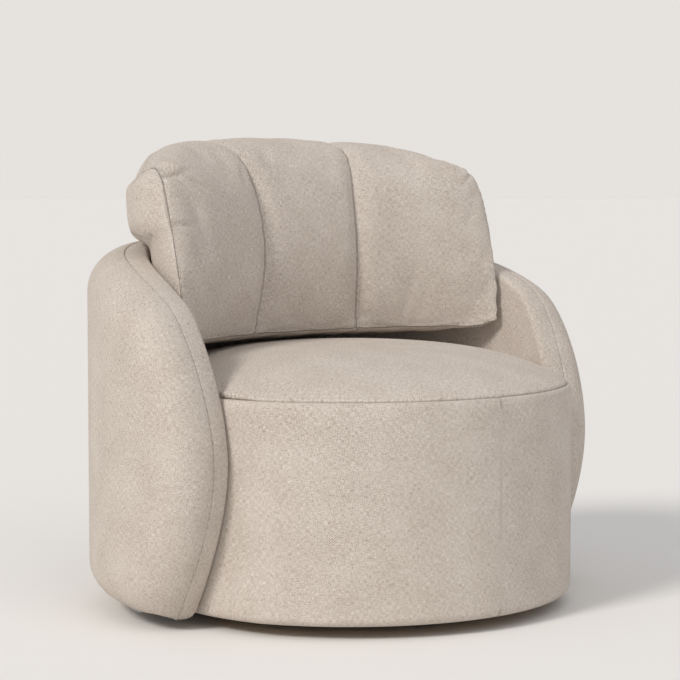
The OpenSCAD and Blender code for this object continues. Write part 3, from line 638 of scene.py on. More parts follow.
    def rolled_under(self, z: np.ndarray, depth: np.ndarray, face_depth: float) -> np.ndarray:
        """Rolls the lower edge: what remains of the distance to the seam shrinks as a quarter
        circle does towards the foot, for the outer cover over its large round and for the inner
        cover over its lip.

        Args:
            z: Heights.
            depth: Depths without the roll.
            face_depth: Depth of the cover's face.

        Returns:
            Depths with the roll.
        """
        outer = face_depth < self.edge
        round_r = self.edge if outer else self.lip
        seam = self.edge if outer else self.wall - self.lip
        near = np.clip((round_r - (z - self.foot)) / round_r, 0, 1)
        left = np.sqrt(1 - near ** 2)
        if outer:
            return seam - (seam - depth) * left
        return np.where(depth > seam, seam + (depth - seam) * left, depth)

    def outer_cover(self) -> bpy.types.Object:
        """Builds the outer cover: a quarter circle from the outer face to the seam, then a tuck."""
        tuck_a = np.radians(np.linspace(90, 0, 6))
        seam = self.edge - 0.0002
        fold = np.stack([self.tuck - self.tuck * np.cos(tuck_a),
                         seam - self.tuck + self.tuck * np.sin(tuck_a)], -1)
        start = math.asin((self.edge - fold[-1, 1]) / self.edge)
        roll_a = np.linspace(start, math.pi / 2, 15)[1:]
        roll = np.stack([self.edge * (1 - np.cos(roll_a)), self.edge * (1 - np.sin(roll_a))], -1)
        inside = np.array([[self.tuck_depth, seam]])
        section = np.concatenate([inside, fold, roll])
        return self.cover("tub_outer_cover", section, 0.0, np.array([self.edge, 0.072]),
                          ("tub_outer_cover", "tub_outer_foam", "tub_edge_foam"))

    def inner_cover(self) -> bpy.types.Object:
        """Builds the inner cover: a tuck, a slightly crowned flat, a small lip and the wall."""
        tuck_a = np.radians(np.linspace(90, 0, 6))
        seam = self.edge + 0.0002
        fold = np.stack([self.tuck - self.tuck * np.cos(tuck_a),
                         seam + self.tuck - self.tuck * np.sin(tuck_a)], -1)
        lip_start = self.wall - self.lip
        share = np.linspace(0, 1, 7)[1:-1]
        flat = np.stack([-0.0012 * np.sin(math.pi * share),
                         fold[-1, 1] + (lip_start - fold[-1, 1]) * share], -1)
        lip_a = np.radians(np.linspace(0, 90, 9))
        lip = np.stack([self.lip * (1 - np.cos(lip_a)), lip_start + self.lip * np.sin(lip_a)], -1)
        inside = np.array([[self.tuck_depth, seam]])
        section = np.concatenate([inside, fold, flat, lip])
        return self.cover("tub_inner_cover", section, self.wall, np.array([lip_start, 0.066]),
                          ("tub_inner_cover", "tub_inner_foam"))

    def build(self) -> list[bpy.types.Object]:
        """Builds both covers."""
        return [self.outer_cover(), self.inner_cover()]


@dataclass
class SeatDrum:
    """The round seat: a side cover turned under at its foot, a crowned top cover, and the seam
    between them with its row of topstitches."""

    weave: bpy.types.Material
    thread: bpy.types.Material
    radius: float = 0.350
    centre_y: float = -0.020
    tub_y: float = -0.060
    tub_in: float = 0.3332
    foot: float = 0.020
    foot_round: float = 0.014
    seam_h: float = 0.346
    crown_h: float = 0.407
    seam_inset: float = 0.008
    shoulder: float = 0.016
    turn_under: float = 0.038
    cloth_t: float = 0.0014
    stitch: float = 0.0045
    stitch_pitch: float = 0.0075
    count: int = 480

    def plan(self) -> tuple[np.ndarray, np.ndarray]:
        """The seat's plan: for each direction the shorter of the distances to the seat's circle
        and to the inside of the tub, with outward directions from its slope.

        Returns:
            Places and outward directions, seen from above.
        """
        a = np.linspace(0, 2 * math.pi, self.count, endpoint=False)
        facing = np.stack([np.sin(a), -np.cos(a)], -1)
        off = self.centre_y - self.tub_y
        lean = off * facing[:, 1]
        to_tub = -lean + np.sqrt(lean ** 2 - off ** 2 + self.tub_in ** 2)
        reach = np.minimum(self.radius, to_tub)
        place = facing * reach[:, None] + [0, self.centre_y]
        step = np.roll(place, -1, 0) - np.roll(place, 1, 0)
        step /= np.linalg.norm(step, axis=1, keepdims=True)
        return place, np.stack([step[:, 1], -step[:, 0]], -1)

    def crown(self, r: np.ndarray) -> np.ndarray:
        """Height of the top by radius: a flattened dome, (1 - r cubed) to a power, that rises
        steeply at the seam."""
        share = np.clip(r / (self.radius - self.seam_inset), 0, 1)
        return self.seam_h + (self.crown_h - self.seam_h) * (1 - share ** 3) ** 0.83

    def side_cover(self) -> bpy.types.Object:
        """Builds the side: a profile of inset and height, carried round the plan.

        Returns:
            The side cover.
        """
        foot_a = np.radians(np.linspace(0, 90, 8))
        foot = np.stack([self.foot_round * (1 - np.sin(foot_a)),
                         self.foot + self.foot_round * (1 - np.cos(foot_a))], -1)
        low = self.foot + self.foot_round
        high = self.seam_h - self.shoulder
        wall = np.stack([np.zeros(24), np.linspace(low, high, 26)[1:-1]], -1)
        top_a = np.radians(np.linspace(0, 90, 9))
        shoulder = np.stack([self.seam_inset * (1 - np.cos(top_a)) * 0.75,
                             high + (self.shoulder - 0.0015) * np.sin(top_a)], -1)
        tuck = np.array([[self.seam_inset, self.seam_h - 0.0008],
                         [self.seam_inset + 0.004, self.seam_h - 0.003]])
        under = np.array([[self.turn_under, self.foot + 0.001]])
        profile = np.concatenate([under, foot, wall, shoulder, tuck])
        place, out = self.plan()
        flat = place[None] - profile[:, 0, None, None] * out[None]
        z = np.repeat(profile[:, 1, None], self.count, 1)
        points = np.concatenate([flat, z[..., None]], -1)
        reach = run_along(profile)
        round_m = np.linspace(0, 2 * math.pi * self.radius, self.count, endpoint=False)
        cloth = np.stack(np.broadcast_arrays(round_m[None], reach[:, None]), -1)
        quads = grid_quads(len(profile), self.count, wrap=True)
        piece = mesh_piece("seat_side_cover", points.reshape(-1, 3), quads,
                           cloth.reshape(-1, 2), Body.CHAIR, self.weave)
        give_thickness(piece, self.cloth_t)
        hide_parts("seat_side_cover", "seat_side_foam")
        return piece

    def top_cover(self) -> bpy.types.Object:
        """Builds the crowned top: rings that shrink from the seam to the middle, with a tuck
        outside the first.

        Returns:
            The top cover.
        """
        place, out = self.plan()
        inner = place - out * self.seam_inset
        centre = np.array([0, self.centre_y])
        shares = 1 - np.linspace(0, 1, 46)[:-1] ** 1.35
        rings = centre + (inner - centre)[None] * shares[:, None, None]
        r = np.linalg.norm(rings - centre, axis=-1)
        z = self.crown(r)
        edge = np.linalg.norm(inner - centre, axis=-1)
        lip = np.clip((edge - r) / 0.004, 0, 1)
        z = z + 0.0022 * np.sin(math.pi * lip) * (r > self.radius - 0.03)
        tucked = np.concatenate([inner - out * 0.004,
                                 np.full((self.count, 1), self.seam_h - 0.003)], -1)
        points = np.concatenate([tucked[None], np.concatenate([rings, z[..., None]], -1)])
        rows = len(points)
        flat = points[..., :2].reshape(-1, 2)
        points = np.concatenate([points.reshape(-1, 3),
                                 [[0, self.centre_y, self.crown_h]]])
        quads = grid_quads(rows, self.count, wrap=True)
        last = np.arange(self.count) + (rows - 1) * self.count
        fan = np.stack([last, np.roll(last, -1), np.full(self.count, len(points) - 1)], -1)
        cloth = np.concatenate([flat, [[0, self.centre_y]]])
        piece = mesh_piece("seat_top_cover", points, quads, cloth, Body.CHAIR, self.weave)
        self.close_middle(piece, fan, cloth)
        give_thickness(piece, self.cloth_t)
        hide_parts("seat_top_cover", "seat_topper", "seat_foam", "seat_seam_welt")
        return piece

    def close_middle(self, piece: bpy.types.Object, fan: np.ndarray, cloth: np.ndarray) -> None:
        """Closes the middle of the top with triangles.

        Args:
            piece: The top cover.
            fan: Three vertex numbers a triangle.
            cloth: Place of each vertex on the flat cloth.
        """
        mesh = piece.data
        loops, faces = len(mesh.loops), len(mesh.polygons)
        mesh.loops.add(fan.size)
        mesh.polygons.add(len(fan))
        number = read_rows(mesh.loops, "vertex_index", kind=np.int32)
        number[loops:] = fan.ravel()
        mesh.loops.foreach_set("vertex_index", number)
        start = read_rows(mesh.polygons, "loop_start", kind=np.int32)
        start[faces:] = loops + np.arange(0, fan.size, 3)
        mesh.polygons.foreach_set("loop_start", start)
        mesh.polygons.foreach_set("use_smooth", np.ones(len(mesh.polygons), bool))
        mesh.update(calc_edges=True)
        mesh.uv_layers[CLOTH_UV].uv.foreach_set("vector", cloth[number].astype(np.float32).ravel())

    def front_arc(self, inset: float) -> tuple[np.ndarray, np.ndarray, np.ndarray]:
        """The seat's circle, inset, where the tub doesn't cut it.

        Args:
            inset: Distance inside the seat's side.

        Returns:
            Places, directions along and directions outwards, evenly spread by stitch pitch.
        """
        r = self.radius - inset
        off = self.centre_y - self.tub_y
        end = math.acos((r ** 2 + off ** 2 - (self.tub_in - inset) ** 2) / (2 * off * r))
        count = int(2 * end * r / self.stitch_pitch)
        a = np.linspace(-end, end, count)
        out = np.stack([np.sin(a), -np.cos(a)], -1)
        return out * r + [0, self.centre_y], np.stack([np.cos(a), np.sin(a)], -1), out

    def topstitch(self, name: str, inset: float, z: float) -> bpy.types.Object:
        """Builds a row of stitches round the seat's side.

        Args:
            name: Name of the row.
            inset: Distance of the row inside the seat's side.
            z: Height of the row.

        Returns:
            The stitches, as one mesh of short rounded bars.
        """
        place, ahead, out = self.front_arc(inset)
        place = np.concatenate([place, np.full((len(place), 1), z)], -1)
        ahead = np.concatenate([ahead, np.zeros((len(ahead), 1))], -1)
        out = np.concatenate([out, np.zeros((len(out), 1))], -1)
        return stitch_row(name, place, ahead, out, self.stitch, Body.CHAIR, self.thread)

    def build(self) -> list[bpy.types.Object]:
        """Builds the covers and their stitches."""
        return [self.side_cover(), self.top_cover(),
                self.topstitch("seat_topstitches", 0.0030, self.seam_h - 0.0065),
                self.topstitch("seat_hem_stitches", 0.0002, self.foot + self.foot_round)]


def stitch_row(name: str, place: np.ndarray, ahead: np.ndarray, out: np.ndarray, length: float,
               body: Body, thread: bpy.types.Material, radius: float = 0.00055
               ) -> bpy.types.Object:
    """Lays stitches along a path: each is a bar of six sides whose radius swells and shrinks
    along it as a half ellipse does, sunk by half its radius.

    Args:
        name: Name of the row.
        place: Middle of each stitch.
        ahead: Direction of each stitch.
        out: Direction away from the cloth.
        length: Length of a stitch.
        body: Body that carries the row.
        thread: The thread's material.
        radius: Radius of a stitch.

    Returns:
        The row.
    """
    t = np.linspace(-1, 1, 6)
    a = np.arange(6) / 6 * 2 * math.pi
    side = np.cross(ahead, out)
    thick = radius * np.sqrt(np.clip(1.02 - t ** 2, 0.02, 1))
    centre = (place[:, None] + ahead[:, None] * (t * length / 2)[None, :, None]
              - out[:, None] * (radius * 1.2 * t ** 2)[None, :, None])
    points = (centre[:, :, None]
              + thick[None, :, None, None] * np.cos(a)[None, None, :, None] * out[:, None, None]
              + thick[None, :, None, None] * np.sin(a)[None, None, :, None] * side[:, None, None])
    one = grid_quads(len(t), len(a), wrap=True)
    caps = np.array([[0, 1, 2, 3], [0, 3, 4, 5]])
    one = np.concatenate([one, caps, (caps + (len(t) - 1) * len(a))[:, ::-1]])
    quads = (one[None] + (np.arange(len(place)) * len(t) * len(a))[:, None, None]).reshape(-1, 4)
    piece = mesh_piece(name, points.reshape(-1, 3), quads, None, body, thread)
    return piece


# Seams of the back cushion: its sewn channels, and the edges of its two panels.
CHANNELS = ("channel_left", "channel_right")
EDGES = ("front", "back")
# Folds at the cushion's ends: the end, the share of the height where a fold starts, its tilt in
# degrees, its length and its depth in metres.
FOLDS = (
    (-1, 0.80, 6, 0.045, 0.0085), (-1, 0.52, -4, 0.035, 0.0050), (-1, 0.93, -24, 0.075, 0.0070),
    (-1, 0.88, -40, 0.055, 0.0055), (1, 0.90, 20, 0.060, 0.0034), (1, 0.97, 4, 0.075, 0.0034),
    (1, 0.84, -38, 0.050, 0.0028),
)
# How stiff the cushion's cloth is, and that its pressure is used.
CLOTH = {"quality": 6, "mass": 0.35, "tension_stiffness": 18, "compression_stiffness": 18,
         "shear_stiffness": 8, "bending_stiffness": 0.6, "use_pressure": True}


@dataclass
class BackCushion:
    """The loose back cushion: one panel rolled over its top and sewn in two channels, a gusset at
    each end and a plain back. It is drawn by formula, filled by a cloth simulation, and then
    gets its seams."""

    weave: bpy.types.Material
    tub_y: float = -0.060
    tub_in: float = 0.335
    foot: float = 0.4153
    height: float = 0.310
    half_w: float = 0.326
    back_half_w: float = 0.283
    middle: float = 0.146
    end: float = 0.022
    crown: float = 0.066
    lean: float = 0.084
    fold: float = 0.075
    over: float = 0.055
    corner: float = 0.29 * 0.115
    dome: float = 0.020
    back_fall: float = 0.008
    back_dome: float = 0.040
    swell: float = 0.011
    tub_gap: float = 0.003
    over_start: float = 0.065
    bulge_start: float = 0.06
    channel_share: float = 0.29
    channel_depth: float = 0.0055
    groove_half: float = 0.31
    slack: float = 0.010
    voxel: float = 0.0055
    pressure: float = 4.0
    frames: int = 20
    cap: float = 0.024
    shrink: float = -0.012
    pin_width: float = 0.008
    rest_height: float = 0.56
    corner_width: float = 0.028
    calm_width: float = 0.01
    calm_passes: int = 4
    channel_pull: tuple = ((0.0026, 0.0032), (0.0020, 0.010))
    edge_pull: tuple = ((0.0022, 0.0030), (0.0012, 0.008))
    pucker: float = 0.0006
    seam_reach: float = 0.02
    seam_band: float = 0.007
    gusset_facing: float = 0.8
    seams: dict = field(default_factory=dict)

    @property
    def last(self) -> float:
        """Column at the cushion's ends, counted so that a channel lies at 1."""
        return 1 / self.channel_share

    def channel_at(self, w: np.ndarray) -> np.ndarray:
        """Share of the half width where a channel lies: it bows outwards below and above."""
        bow = np.where(w < 0.4, 0.2, 0.3)
        return self.channel_share + bow * (w - 0.4) ** 2

    def across(self, c: np.ndarray, w: np.ndarray) -> np.ndarray:
        """Column share turned to a share of the half width: a column at 1 lies on the channel."""
        s = self.channel_at(w)
        e = np.abs(c)
        return np.sign(c) * np.where(e <= 1, e * s, s + (e - 1) / (self.last - 1) * (1 - s))

    def groove(self, c: np.ndarray) -> np.ndarray:
        """How much a place is drawn to the channel: a rounded dip, 1 on it and 0 beside it."""
        return eased(np.clip(1 - np.abs(np.abs(c) - 1) / self.groove_half, 0, 1))

    def panel_x(self, u: np.ndarray, w: np.ndarray, half: float) -> np.ndarray:
        """Width place: the share of the half width, drawn in at the upper and lower corners."""
        cut = self.corner * w ** 7 + self.corner / 8 * (1 - w) ** 9
        return half * u - np.sign(u) * np.abs(u) ** 3 * cut

    def corner_z(self, u: np.ndarray, w: np.ndarray) -> np.ndarray:
        """How much the dome across the top and the rounded corners move a place up."""
        return (self.corner / 3 * np.abs(u) ** 18 * (1 - w) ** 3
                - (self.corner * np.abs(u) ** 6 + self.dome * u ** 2) * w ** 3)

    def panel_z(self, u: np.ndarray, w: np.ndarray) -> np.ndarray:
        """Height place in front: it passes a crest and falls a little behind it."""
        return self.foot + self.height * (w - 0.15 * w ** 10) / 0.86 + self.corner_z(u, w)

    def back_z(self, u: np.ndarray, w: np.ndarray) -> np.ndarray:
        """Height place behind: it rises evenly to a lower and more domed seam."""
        return (self.foot + self.height * w * 0.85 / 0.86 + self.corner_z(u, w)
                - (self.back_fall + self.back_dome * u ** 2) * w ** 3)

    def front(self, c: np.ndarray, w: np.ndarray) -> np.ndarray:
        """Front panel: it curves forward to its ends, leans back, swells between its seams and
        rolls over the top, with the two channels sewn in all the way."""
        u = self.across(c, w)
        full = ((1 - np.abs(1 - 2 * w ** 1.5) ** 3.5)
                * np.clip(1 - np.abs(u) ** 6, 0, 1) ** 0.7)
        dip = self.channel_depth * self.groove(c)
        y = (self.tub_y + self.end + (self.middle - self.end) * (1 - np.abs(u) ** 2.5)
             + self.lean * w + self.fold * w ** 8 - (self.crown - self.slack - dip) * full)
        return np.stack([self.panel_x(u, w, self.half_w), y,
                         self.panel_z(u, w) - dip * 0.6 * w ** 8], -1)

    def over_rim(self, u: np.ndarray, w: np.ndarray) -> np.ndarray:
        """Share of the way from the tub's rim to the cushion's top."""
        a = 2 * u / 3
        low = 0.580 - 0.047 * a ** 2 - 0.045 * a ** 6
        top = self.foot + self.height
        return np.clip((self.back_z(u, w) - low) / (top - low), 0, 1)

    def back(self, c: np.ndarray, w: np.ndarray) -> np.ndarray:
        """Back panel: it lies along the tub's inner wall, then leans out over the rim."""
        u = self.across(c, w)
        x = self.panel_x(u, w, self.back_half_w)
        rise = self.over_rim(u, w)
        y = (self.tub_y + np.sqrt((self.tub_in - self.tub_gap) ** 2 - x ** 2)
             + self.over * (1 - bell(rise, self.over_start)))
        return np.stack([x, y, self.back_z(u, w)], -1)

    def band(self, c: np.ndarray, w: np.ndarray, t: np.ndarray) -> np.ndarray:
        """Band between the two panels' edges: straight across, with a swell of 4t(1-t) that
        points away from the cushion's middle and is fullest just above the tub's rim."""
        rise = self.over_rim(self.across(c, w), w)
        side = np.where(np.abs(c) < self.last, 0, np.sign(c)
                        * (1.2 + 1.9 * (1 - bell(rise, self.bulge_start)) * (1 - 0.6 * rise)))
        up = np.where(w >= 1, 0.4, np.where(w <= 0, -0.7, 0))
        out = np.stack([side, np.zeros_like(side), up], -1)
        f, b = self.front(c, w), self.back(c, w)
        bulge = (self.swell - 0.3 * self.slack) * 4 * t * (1 - t)
        return f + t[..., None] * (b - f) + bulge[..., None] * out

    def shell(self) -> tuple[np.ndarray, np.ndarray]:
        """Closed outline of the cushion before it is filled.

        Returns:
            Vertices and faces.
        """
        c = np.linspace(-self.last, self.last, 97)
        w = np.sin(np.linspace(0, math.pi / 2, 41)) ** 2
        cc, ww = np.meshgrid(c, w)
        ends = np.full(40, self.last)
        ring_c = np.concatenate([c[:-1], ends, c[:0:-1], -ends])
        ring_w = np.concatenate([np.zeros(96), w[:-1], np.ones(96), w[:0:-1]])
        t = np.linspace(0, 1, 17)
        tt, rc = np.meshgrid(t, ring_c, indexing="ij")
        _, rw = np.meshgrid(t, ring_w, indexing="ij")
        front, back = self.front(cc, ww), self.back(cc, ww)
        band = self.band(rc, rw, tt)
        size = front[..., 0].size
        quads = np.concatenate([grid_quads(41, 97), grid_quads(41, 97, size)[:, ::-1],
                                grid_quads(17, len(ring_c), 2 * size, wrap=True)[:, ::-1]])
        points = np.concatenate([front.reshape(-1, 3), back.reshape(-1, 3), band.reshape(-1, 3)])
        return points, quads

    def seam_paths(self) -> dict[str, np.ndarray]:
        """Paths of the seams on the cushion's outline, which the filling leaves in place: two
        channels, and a loop round each panel that keeps the panel on its left.

        Returns:
            Points of each path by its name.
        """
        w = np.linspace(0, 1, 200)
        c = np.linspace(-self.last, self.last, 260)
        one, low, high = np.ones(200), np.zeros(260), np.ones(260)

        def loop(panel) -> np.ndarray:
            return np.concatenate([panel(c, low), panel(self.last * one, w), panel(c[::-1], high),
                                   panel(-self.last * one, w[::-1])])

        return {"channel_left": self.front(-one, w), "channel_right": self.front(one, w),
                "front": loop(self.front), "back": loop(self.back)[::-1]}

    def build(self) -> list[bpy.types.Object]:
        """Builds, fills and sews the cushion.

        Returns:
            The cushion.
        """
        points, quads = self.shell()
        piece = mesh_piece("cushion", points, quads, None, Body.CUSHION, self.weave)
        self.seams = {name: along(path, 900) for name, path in self.seam_paths().items()}
        self.remesh(piece)
        self.fill(piece)
        self.round_corners(piece)
        self.refine(piece)
        self.sew(piece)
        self.lay_cloth(piece)
        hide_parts("cushion_fill", "cushion_front_panel", "cushion_back_panel",
                    "cushion_boxing")
        return [piece]

    def points_of(self, piece: bpy.types.Object) -> np.ndarray:
        """The piece's vertices."""
        return read_rows(piece.data.vertices, "co", 3)

    def set_points(self, piece: bpy.types.Object, points: np.ndarray) -> None:
        """Moves the piece's vertices."""
        piece.data.vertices.foreach_set("co", points.astype(np.float32).ravel())
        piece.data.update()

    def normals_of(self, piece: bpy.types.Object) -> np.ndarray:
        """The piece's outward directions at its vertices."""
        return read_rows(piece.data.vertex_normals, "vector", 3)

    def apply_modifiers(self, piece: bpy.types.Object) -> None:
        """Turns the piece's modifiers into its mesh."""
        graph = bpy.context.evaluated_depsgraph_get()
        mesh = bpy.data.meshes.new_from_object(piece.evaluated_get(graph), depsgraph=graph)
        old = piece.data
        piece.modifiers.clear()
        piece.data = mesh
        bpy.data.meshes.remove(old)

    def remesh(self, piece: bpy.types.Object) -> None:
        """Gives the outline even faces, as large as a voxel."""
        remesh = piece.modifiers.new("even", "REMESH")
        remesh.mode = "VOXEL"
        remesh.voxel_size = self.voxel
        remesh.use_smooth_shade = True
        self.apply_modifiers(piece)

    def nearest(self, points: np.ndarray, names: tuple[str, ...]) -> tuple[np.ndarray, np.ndarray]:
        """Finds the nearest place of some seams to each point, a block of points at a time.

        Args:
            points: The points.
            names: The seams.

        Returns:
            The way from that place to the point, and the seam's direction there.
        """
        path = np.concatenate([self.seams[name] for name in names])
        ahead = np.concatenate([np.gradient(self.seams[name], axis=0) for name in names])
        ahead /= np.linalg.norm(ahead, axis=1, keepdims=True)
        size = (path ** 2).sum(1)
        blocks = np.array_split(points, max(1, len(points) // 4000))
        index = np.concatenate([(size - 2 * block @ path.T).argmin(1) for block in blocks])
        return points - path[index], ahead[index]

    def distance(self, points: np.ndarray, names: tuple[str, ...]) -> np.ndarray:
        """Distance of each point to the nearest of some seams."""
        return np.linalg.norm(self.nearest(points, names)[0], axis=1)

    def side_gap(self, points: np.ndarray, out: np.ndarray, names: tuple[str, ...]) -> np.ndarray:
        """Distance across some seams, measured along the cloth: negative left of a seam and
        positive right of it, held at the seams' reach.

        Args:
            points: Vertices.
            out: Their outward directions.
            names: The seams.

        Returns:
            The signed distances.
        """
        away, ahead = self.nearest(points, names)
        side = np.cross(ahead, out)
        side /= np.maximum(np.linalg.norm(side, axis=1, keepdims=True), 1e-9)
        return np.clip((away * side).sum(1), -self.seam_reach, self.seam_reach)

    def fill(self, piece: bpy.types.Object) -> None:
        """Fills the cushion: pressure swells the cloth between its seams, which stay pinned as
        the side that lies against the tub does, and no point moves further than the cap."""
        before = self.points_of(piece)
        near = self.distance(before, tuple(self.seams))
        corner = self.corner_gap(before)
        rested = (np.hypot(before[:, 0], before[:, 1] - self.tub_y) > self.tub_in - 0.012)
        rested &= before[:, 2] < self.rest_height
        pin = np.clip(1.25 - near / self.pin_width, 0, 1) * np.clip(corner / 0.03 - 0.3, 0, 1)
        pin[rested] = 1
        group = piece.vertex_groups.new(name="pinned")
        pin = np.round(pin, 1)
        for level in np.unique(pin[pin > 0]):
            group.add(np.flatnonzero(pin == level).tolist(), float(level), "REPLACE")
        cloth = piece.modifiers.new("filling", "CLOTH")
        settings = cloth.settings
        for name, value in CLOTH.items():
            setattr(settings, name, value)
        settings.uniform_pressure_force = self.pressure
        settings.shrink_min = self.shrink
        settings.vertex_group_mass = "pinned"
        settings.effector_weights.gravity = 0
        cloth.collision_settings.use_collision = False
        cloth.point_cache.frame_start = 1
        cloth.point_cache.frame_end = self.frames
        scene = bpy.context.scene
        for number in range(1, self.frames + 1):
            scene.frame_set(number)
        self.apply_modifiers(piece)
        scene.frame_set(1)
        after = self.points_of(piece)
        move = after - before
        length = np.linalg.norm(move, axis=1, keepdims=True)
        move *= np.minimum(1, self.cap / np.maximum(length, 1e-9))
        self.set_points(piece, before + move)
        log.info("filling moved the cloth by %.1f mm at most", 1000 * length.max())
        piece.vertex_groups.clear()

    def corner_gap(self, points: np.ndarray) -> np.ndarray:
        """Distance of each point to the nearest of the front panel's corners."""
        ends = np.array([-1, 1, -1, 1]) * self.last
        corners = self.front(ends, np.array([0.0, 0, 1, 1]))
        return np.linalg.norm(points[:, None] - corners[None], axis=2).min(1)

    def round_corners(self, piece: bpy.types.Object, passes: int = 14) -> None:
        """Rounds the front panel's corners: each pass moves a vertex towards the mean of its
        neighbours, by a share that fades away from the corner as a bell does. In the first
        passes the cloth between the seams is calmed the same way.

        Args:
            piece: The cushion.
            passes: Number of passes.
        """
        points = self.points_of(piece)
        share = bell(self.corner_gap(points), self.corner_width)[:, None]
        gap = self.distance(points, tuple(self.seams)) / self.calm_width
        calm = np.clip(gap, 0, 1)[:, None] * 0.6
        edges = read_rows(piece.data.edges, "vertices", 2, np.int32)
        a, b = edges.T
        count = np.bincount(edges.ravel(), minlength=len(points))[:, None]
        for number in range(passes):
            if number == self.calm_passes:
                calm = calm * 0
            total = np.stack([np.bincount(a, points[b, k], len(points))
                              + np.bincount(b, points[a, k], len(points)) for k in range(3)], -1)
            points = points + np.maximum(share, calm) * (total / count - points)
        self.set_points(piece, points)

    def refine(self, piece: bpy.types.Object) -> None:
        """Subdivides the cushion once, so that seams and puckers can be drawn."""
        finer = piece.modifiers.new("finer", "SUBSURF")
        finer.levels = 1
        finer.render_levels = 1
        self.apply_modifiers(piece)

    def folds(self, points: np.ndarray, out: np.ndarray) -> np.ndarray:
        """Depth of the short folds that run from the end seams into the front panel: each is a
        bell across a line, which starts at the seam and fades along its length.

        Args:
            points: Vertices.
            out: Their outward directions.

        Returns:
            How far each vertex is drawn in.
        """
        total = np.zeros(len(points))
        for end, w, tilt, length, depth in FOLDS:
            start = self.front(np.array([end * self.last]), np.array([w]))[0]
            away = points[:, [0, 2]] - start[[0, 2]]
            a = math.radians(tilt)
            run = -end * away[:, 0] * math.cos(a) + away[:, 1] * math.sin(a)
            off = end * away[:, 0] * math.sin(a) + away[:, 1] * math.cos(a)
            along_it = np.clip(run / 0.006, 0, 1) * bell(np.maximum(run, 0), length)
            total += depth * along_it * (bell(off, 0.0042) - 0.3 * bell(off - 0.010, 0.007))
        return total * np.clip(-out[:, 1] * 3 + 0.6, 0, 1)

    def sew(self, piece: bpy.types.Object) -> None:
        """Draws the seams in: each pulls the cloth inwards by a narrow and a wide bell, with
        puckers across it that fade away from it, and keeps its distance for the weave."""
        points = self.points_of(piece)
        out = self.normals_of(piece)
        narrow, edge = self.distance(points, CHANNELS), self.distance(points, EDGES)
        pull = sum(depth * bell(narrow, width) for depth, width in self.channel_pull)
        pull += sum(depth * bell(edge, width) for depth, width in self.edge_pull)
        pull *= np.clip(self.corner_gap(points) / 0.035, 0.25, 1)
        beat = np.sin(points[:, 2] * 330 + 4 * np.sin(points[:, 2] * 61)
                      + 3 * np.sin(points[:, 0] * 37))
        pucker = self.pucker * beat * np.exp(-np.minimum(narrow, edge) / 0.014)
        kept = {"channel_gap": self.side_gap(points, out, CHANNELS),
                "edge_gap": self.side_gap(points, out, EDGES),
                "channel_gap_near": np.clip(2 - narrow / self.seam_band, 0, 1),
                "edge_gap_near": np.clip(2 - edge / self.seam_band, 0, 1)}
        for name, values in kept.items():
            layer = piece.data.attributes.new(name, "FLOAT", "POINT")
            layer.data.foreach_set("value", values.astype(np.float32))
        drawn = pull + pucker + self.folds(points, out)
        self.set_points(piece, points - out * drawn[:, None])

    def turn_about(self, points: np.ndarray) -> np.ndarray:
        """Angle of each point about the cushion's core line, which bends as the cushion does:
        it runs half way between the panels at half height."""
        u = np.clip(points[:, 0] / self.half_w, -1, 1)
        fore = self.end + (self.middle - self.end) * (1 - np.abs(u) ** 2.5)
        rear = np.sqrt(self.tub_in ** 2 - (self.back_half_w * u) ** 2)
        core = self.tub_y + (fore + rear) / 2
        return np.arctan2(points[:, 1] - core, points[:, 2] - self.foot - self.height / 2)

    def lay_cloth(self, piece: bpy.types.Object) -> None:
        """Gives the cushion its cloth map: over the panels the width, and the distance round the
        cushion's middle section at the same angle about its core; on the gussets depth and
        height. The map is kept per face corner, so that no face spans its two ends."""
        mesh = piece.data
        mesh.polygons.foreach_set("use_smooth", np.ones(len(mesh.polygons), bool))
        points = self.points_of(piece)
        w = np.linspace(0, 1, 80)
        section = np.concatenate([self.front(np.zeros(80), w), self.back(np.zeros(80), w)[::-1]])
        section = np.concatenate([section, section[:1]])
        angle = np.unwrap(self.turn_about(section))
        reach = run_along(section)
        order = np.argsort(angle)
        angle, reach = angle[order], reach[order]
        lap, length = 2 * math.pi, reach[-1]
        angle = np.concatenate([angle - lap, angle, angle + lap])
        reach = np.concatenate([reach - length, reach, reach + length])
        loops = read_rows(mesh.loops, "vertex_index", kind=np.int32)
        total = read_rows(mesh.polygons, "loop_total", kind=np.int32)
        facing = read_rows(mesh.polygons, "normal", 3)
        centre = read_rows(mesh.polygons, "center", 3)
        side = np.repeat(np.abs(facing[:, 0]) > self.gusset_facing, total)
        p = points[loops]
        face_turn = np.repeat(self.turn_about(centre), total)
        turn = self.turn_about(p)
        turn -= lap * np.round((turn - face_turn) / lap)
        around = np.interp(turn, angle, reach)
        cloth = np.where(side[:, None], p[:, 1:], np.stack([p[:, 0], around], -1))
        layer = mesh.uv_layers.new(name=CLOTH_UV)
        layer.uv.foreach_set("vector", cloth.astype(np.float32).ravel())


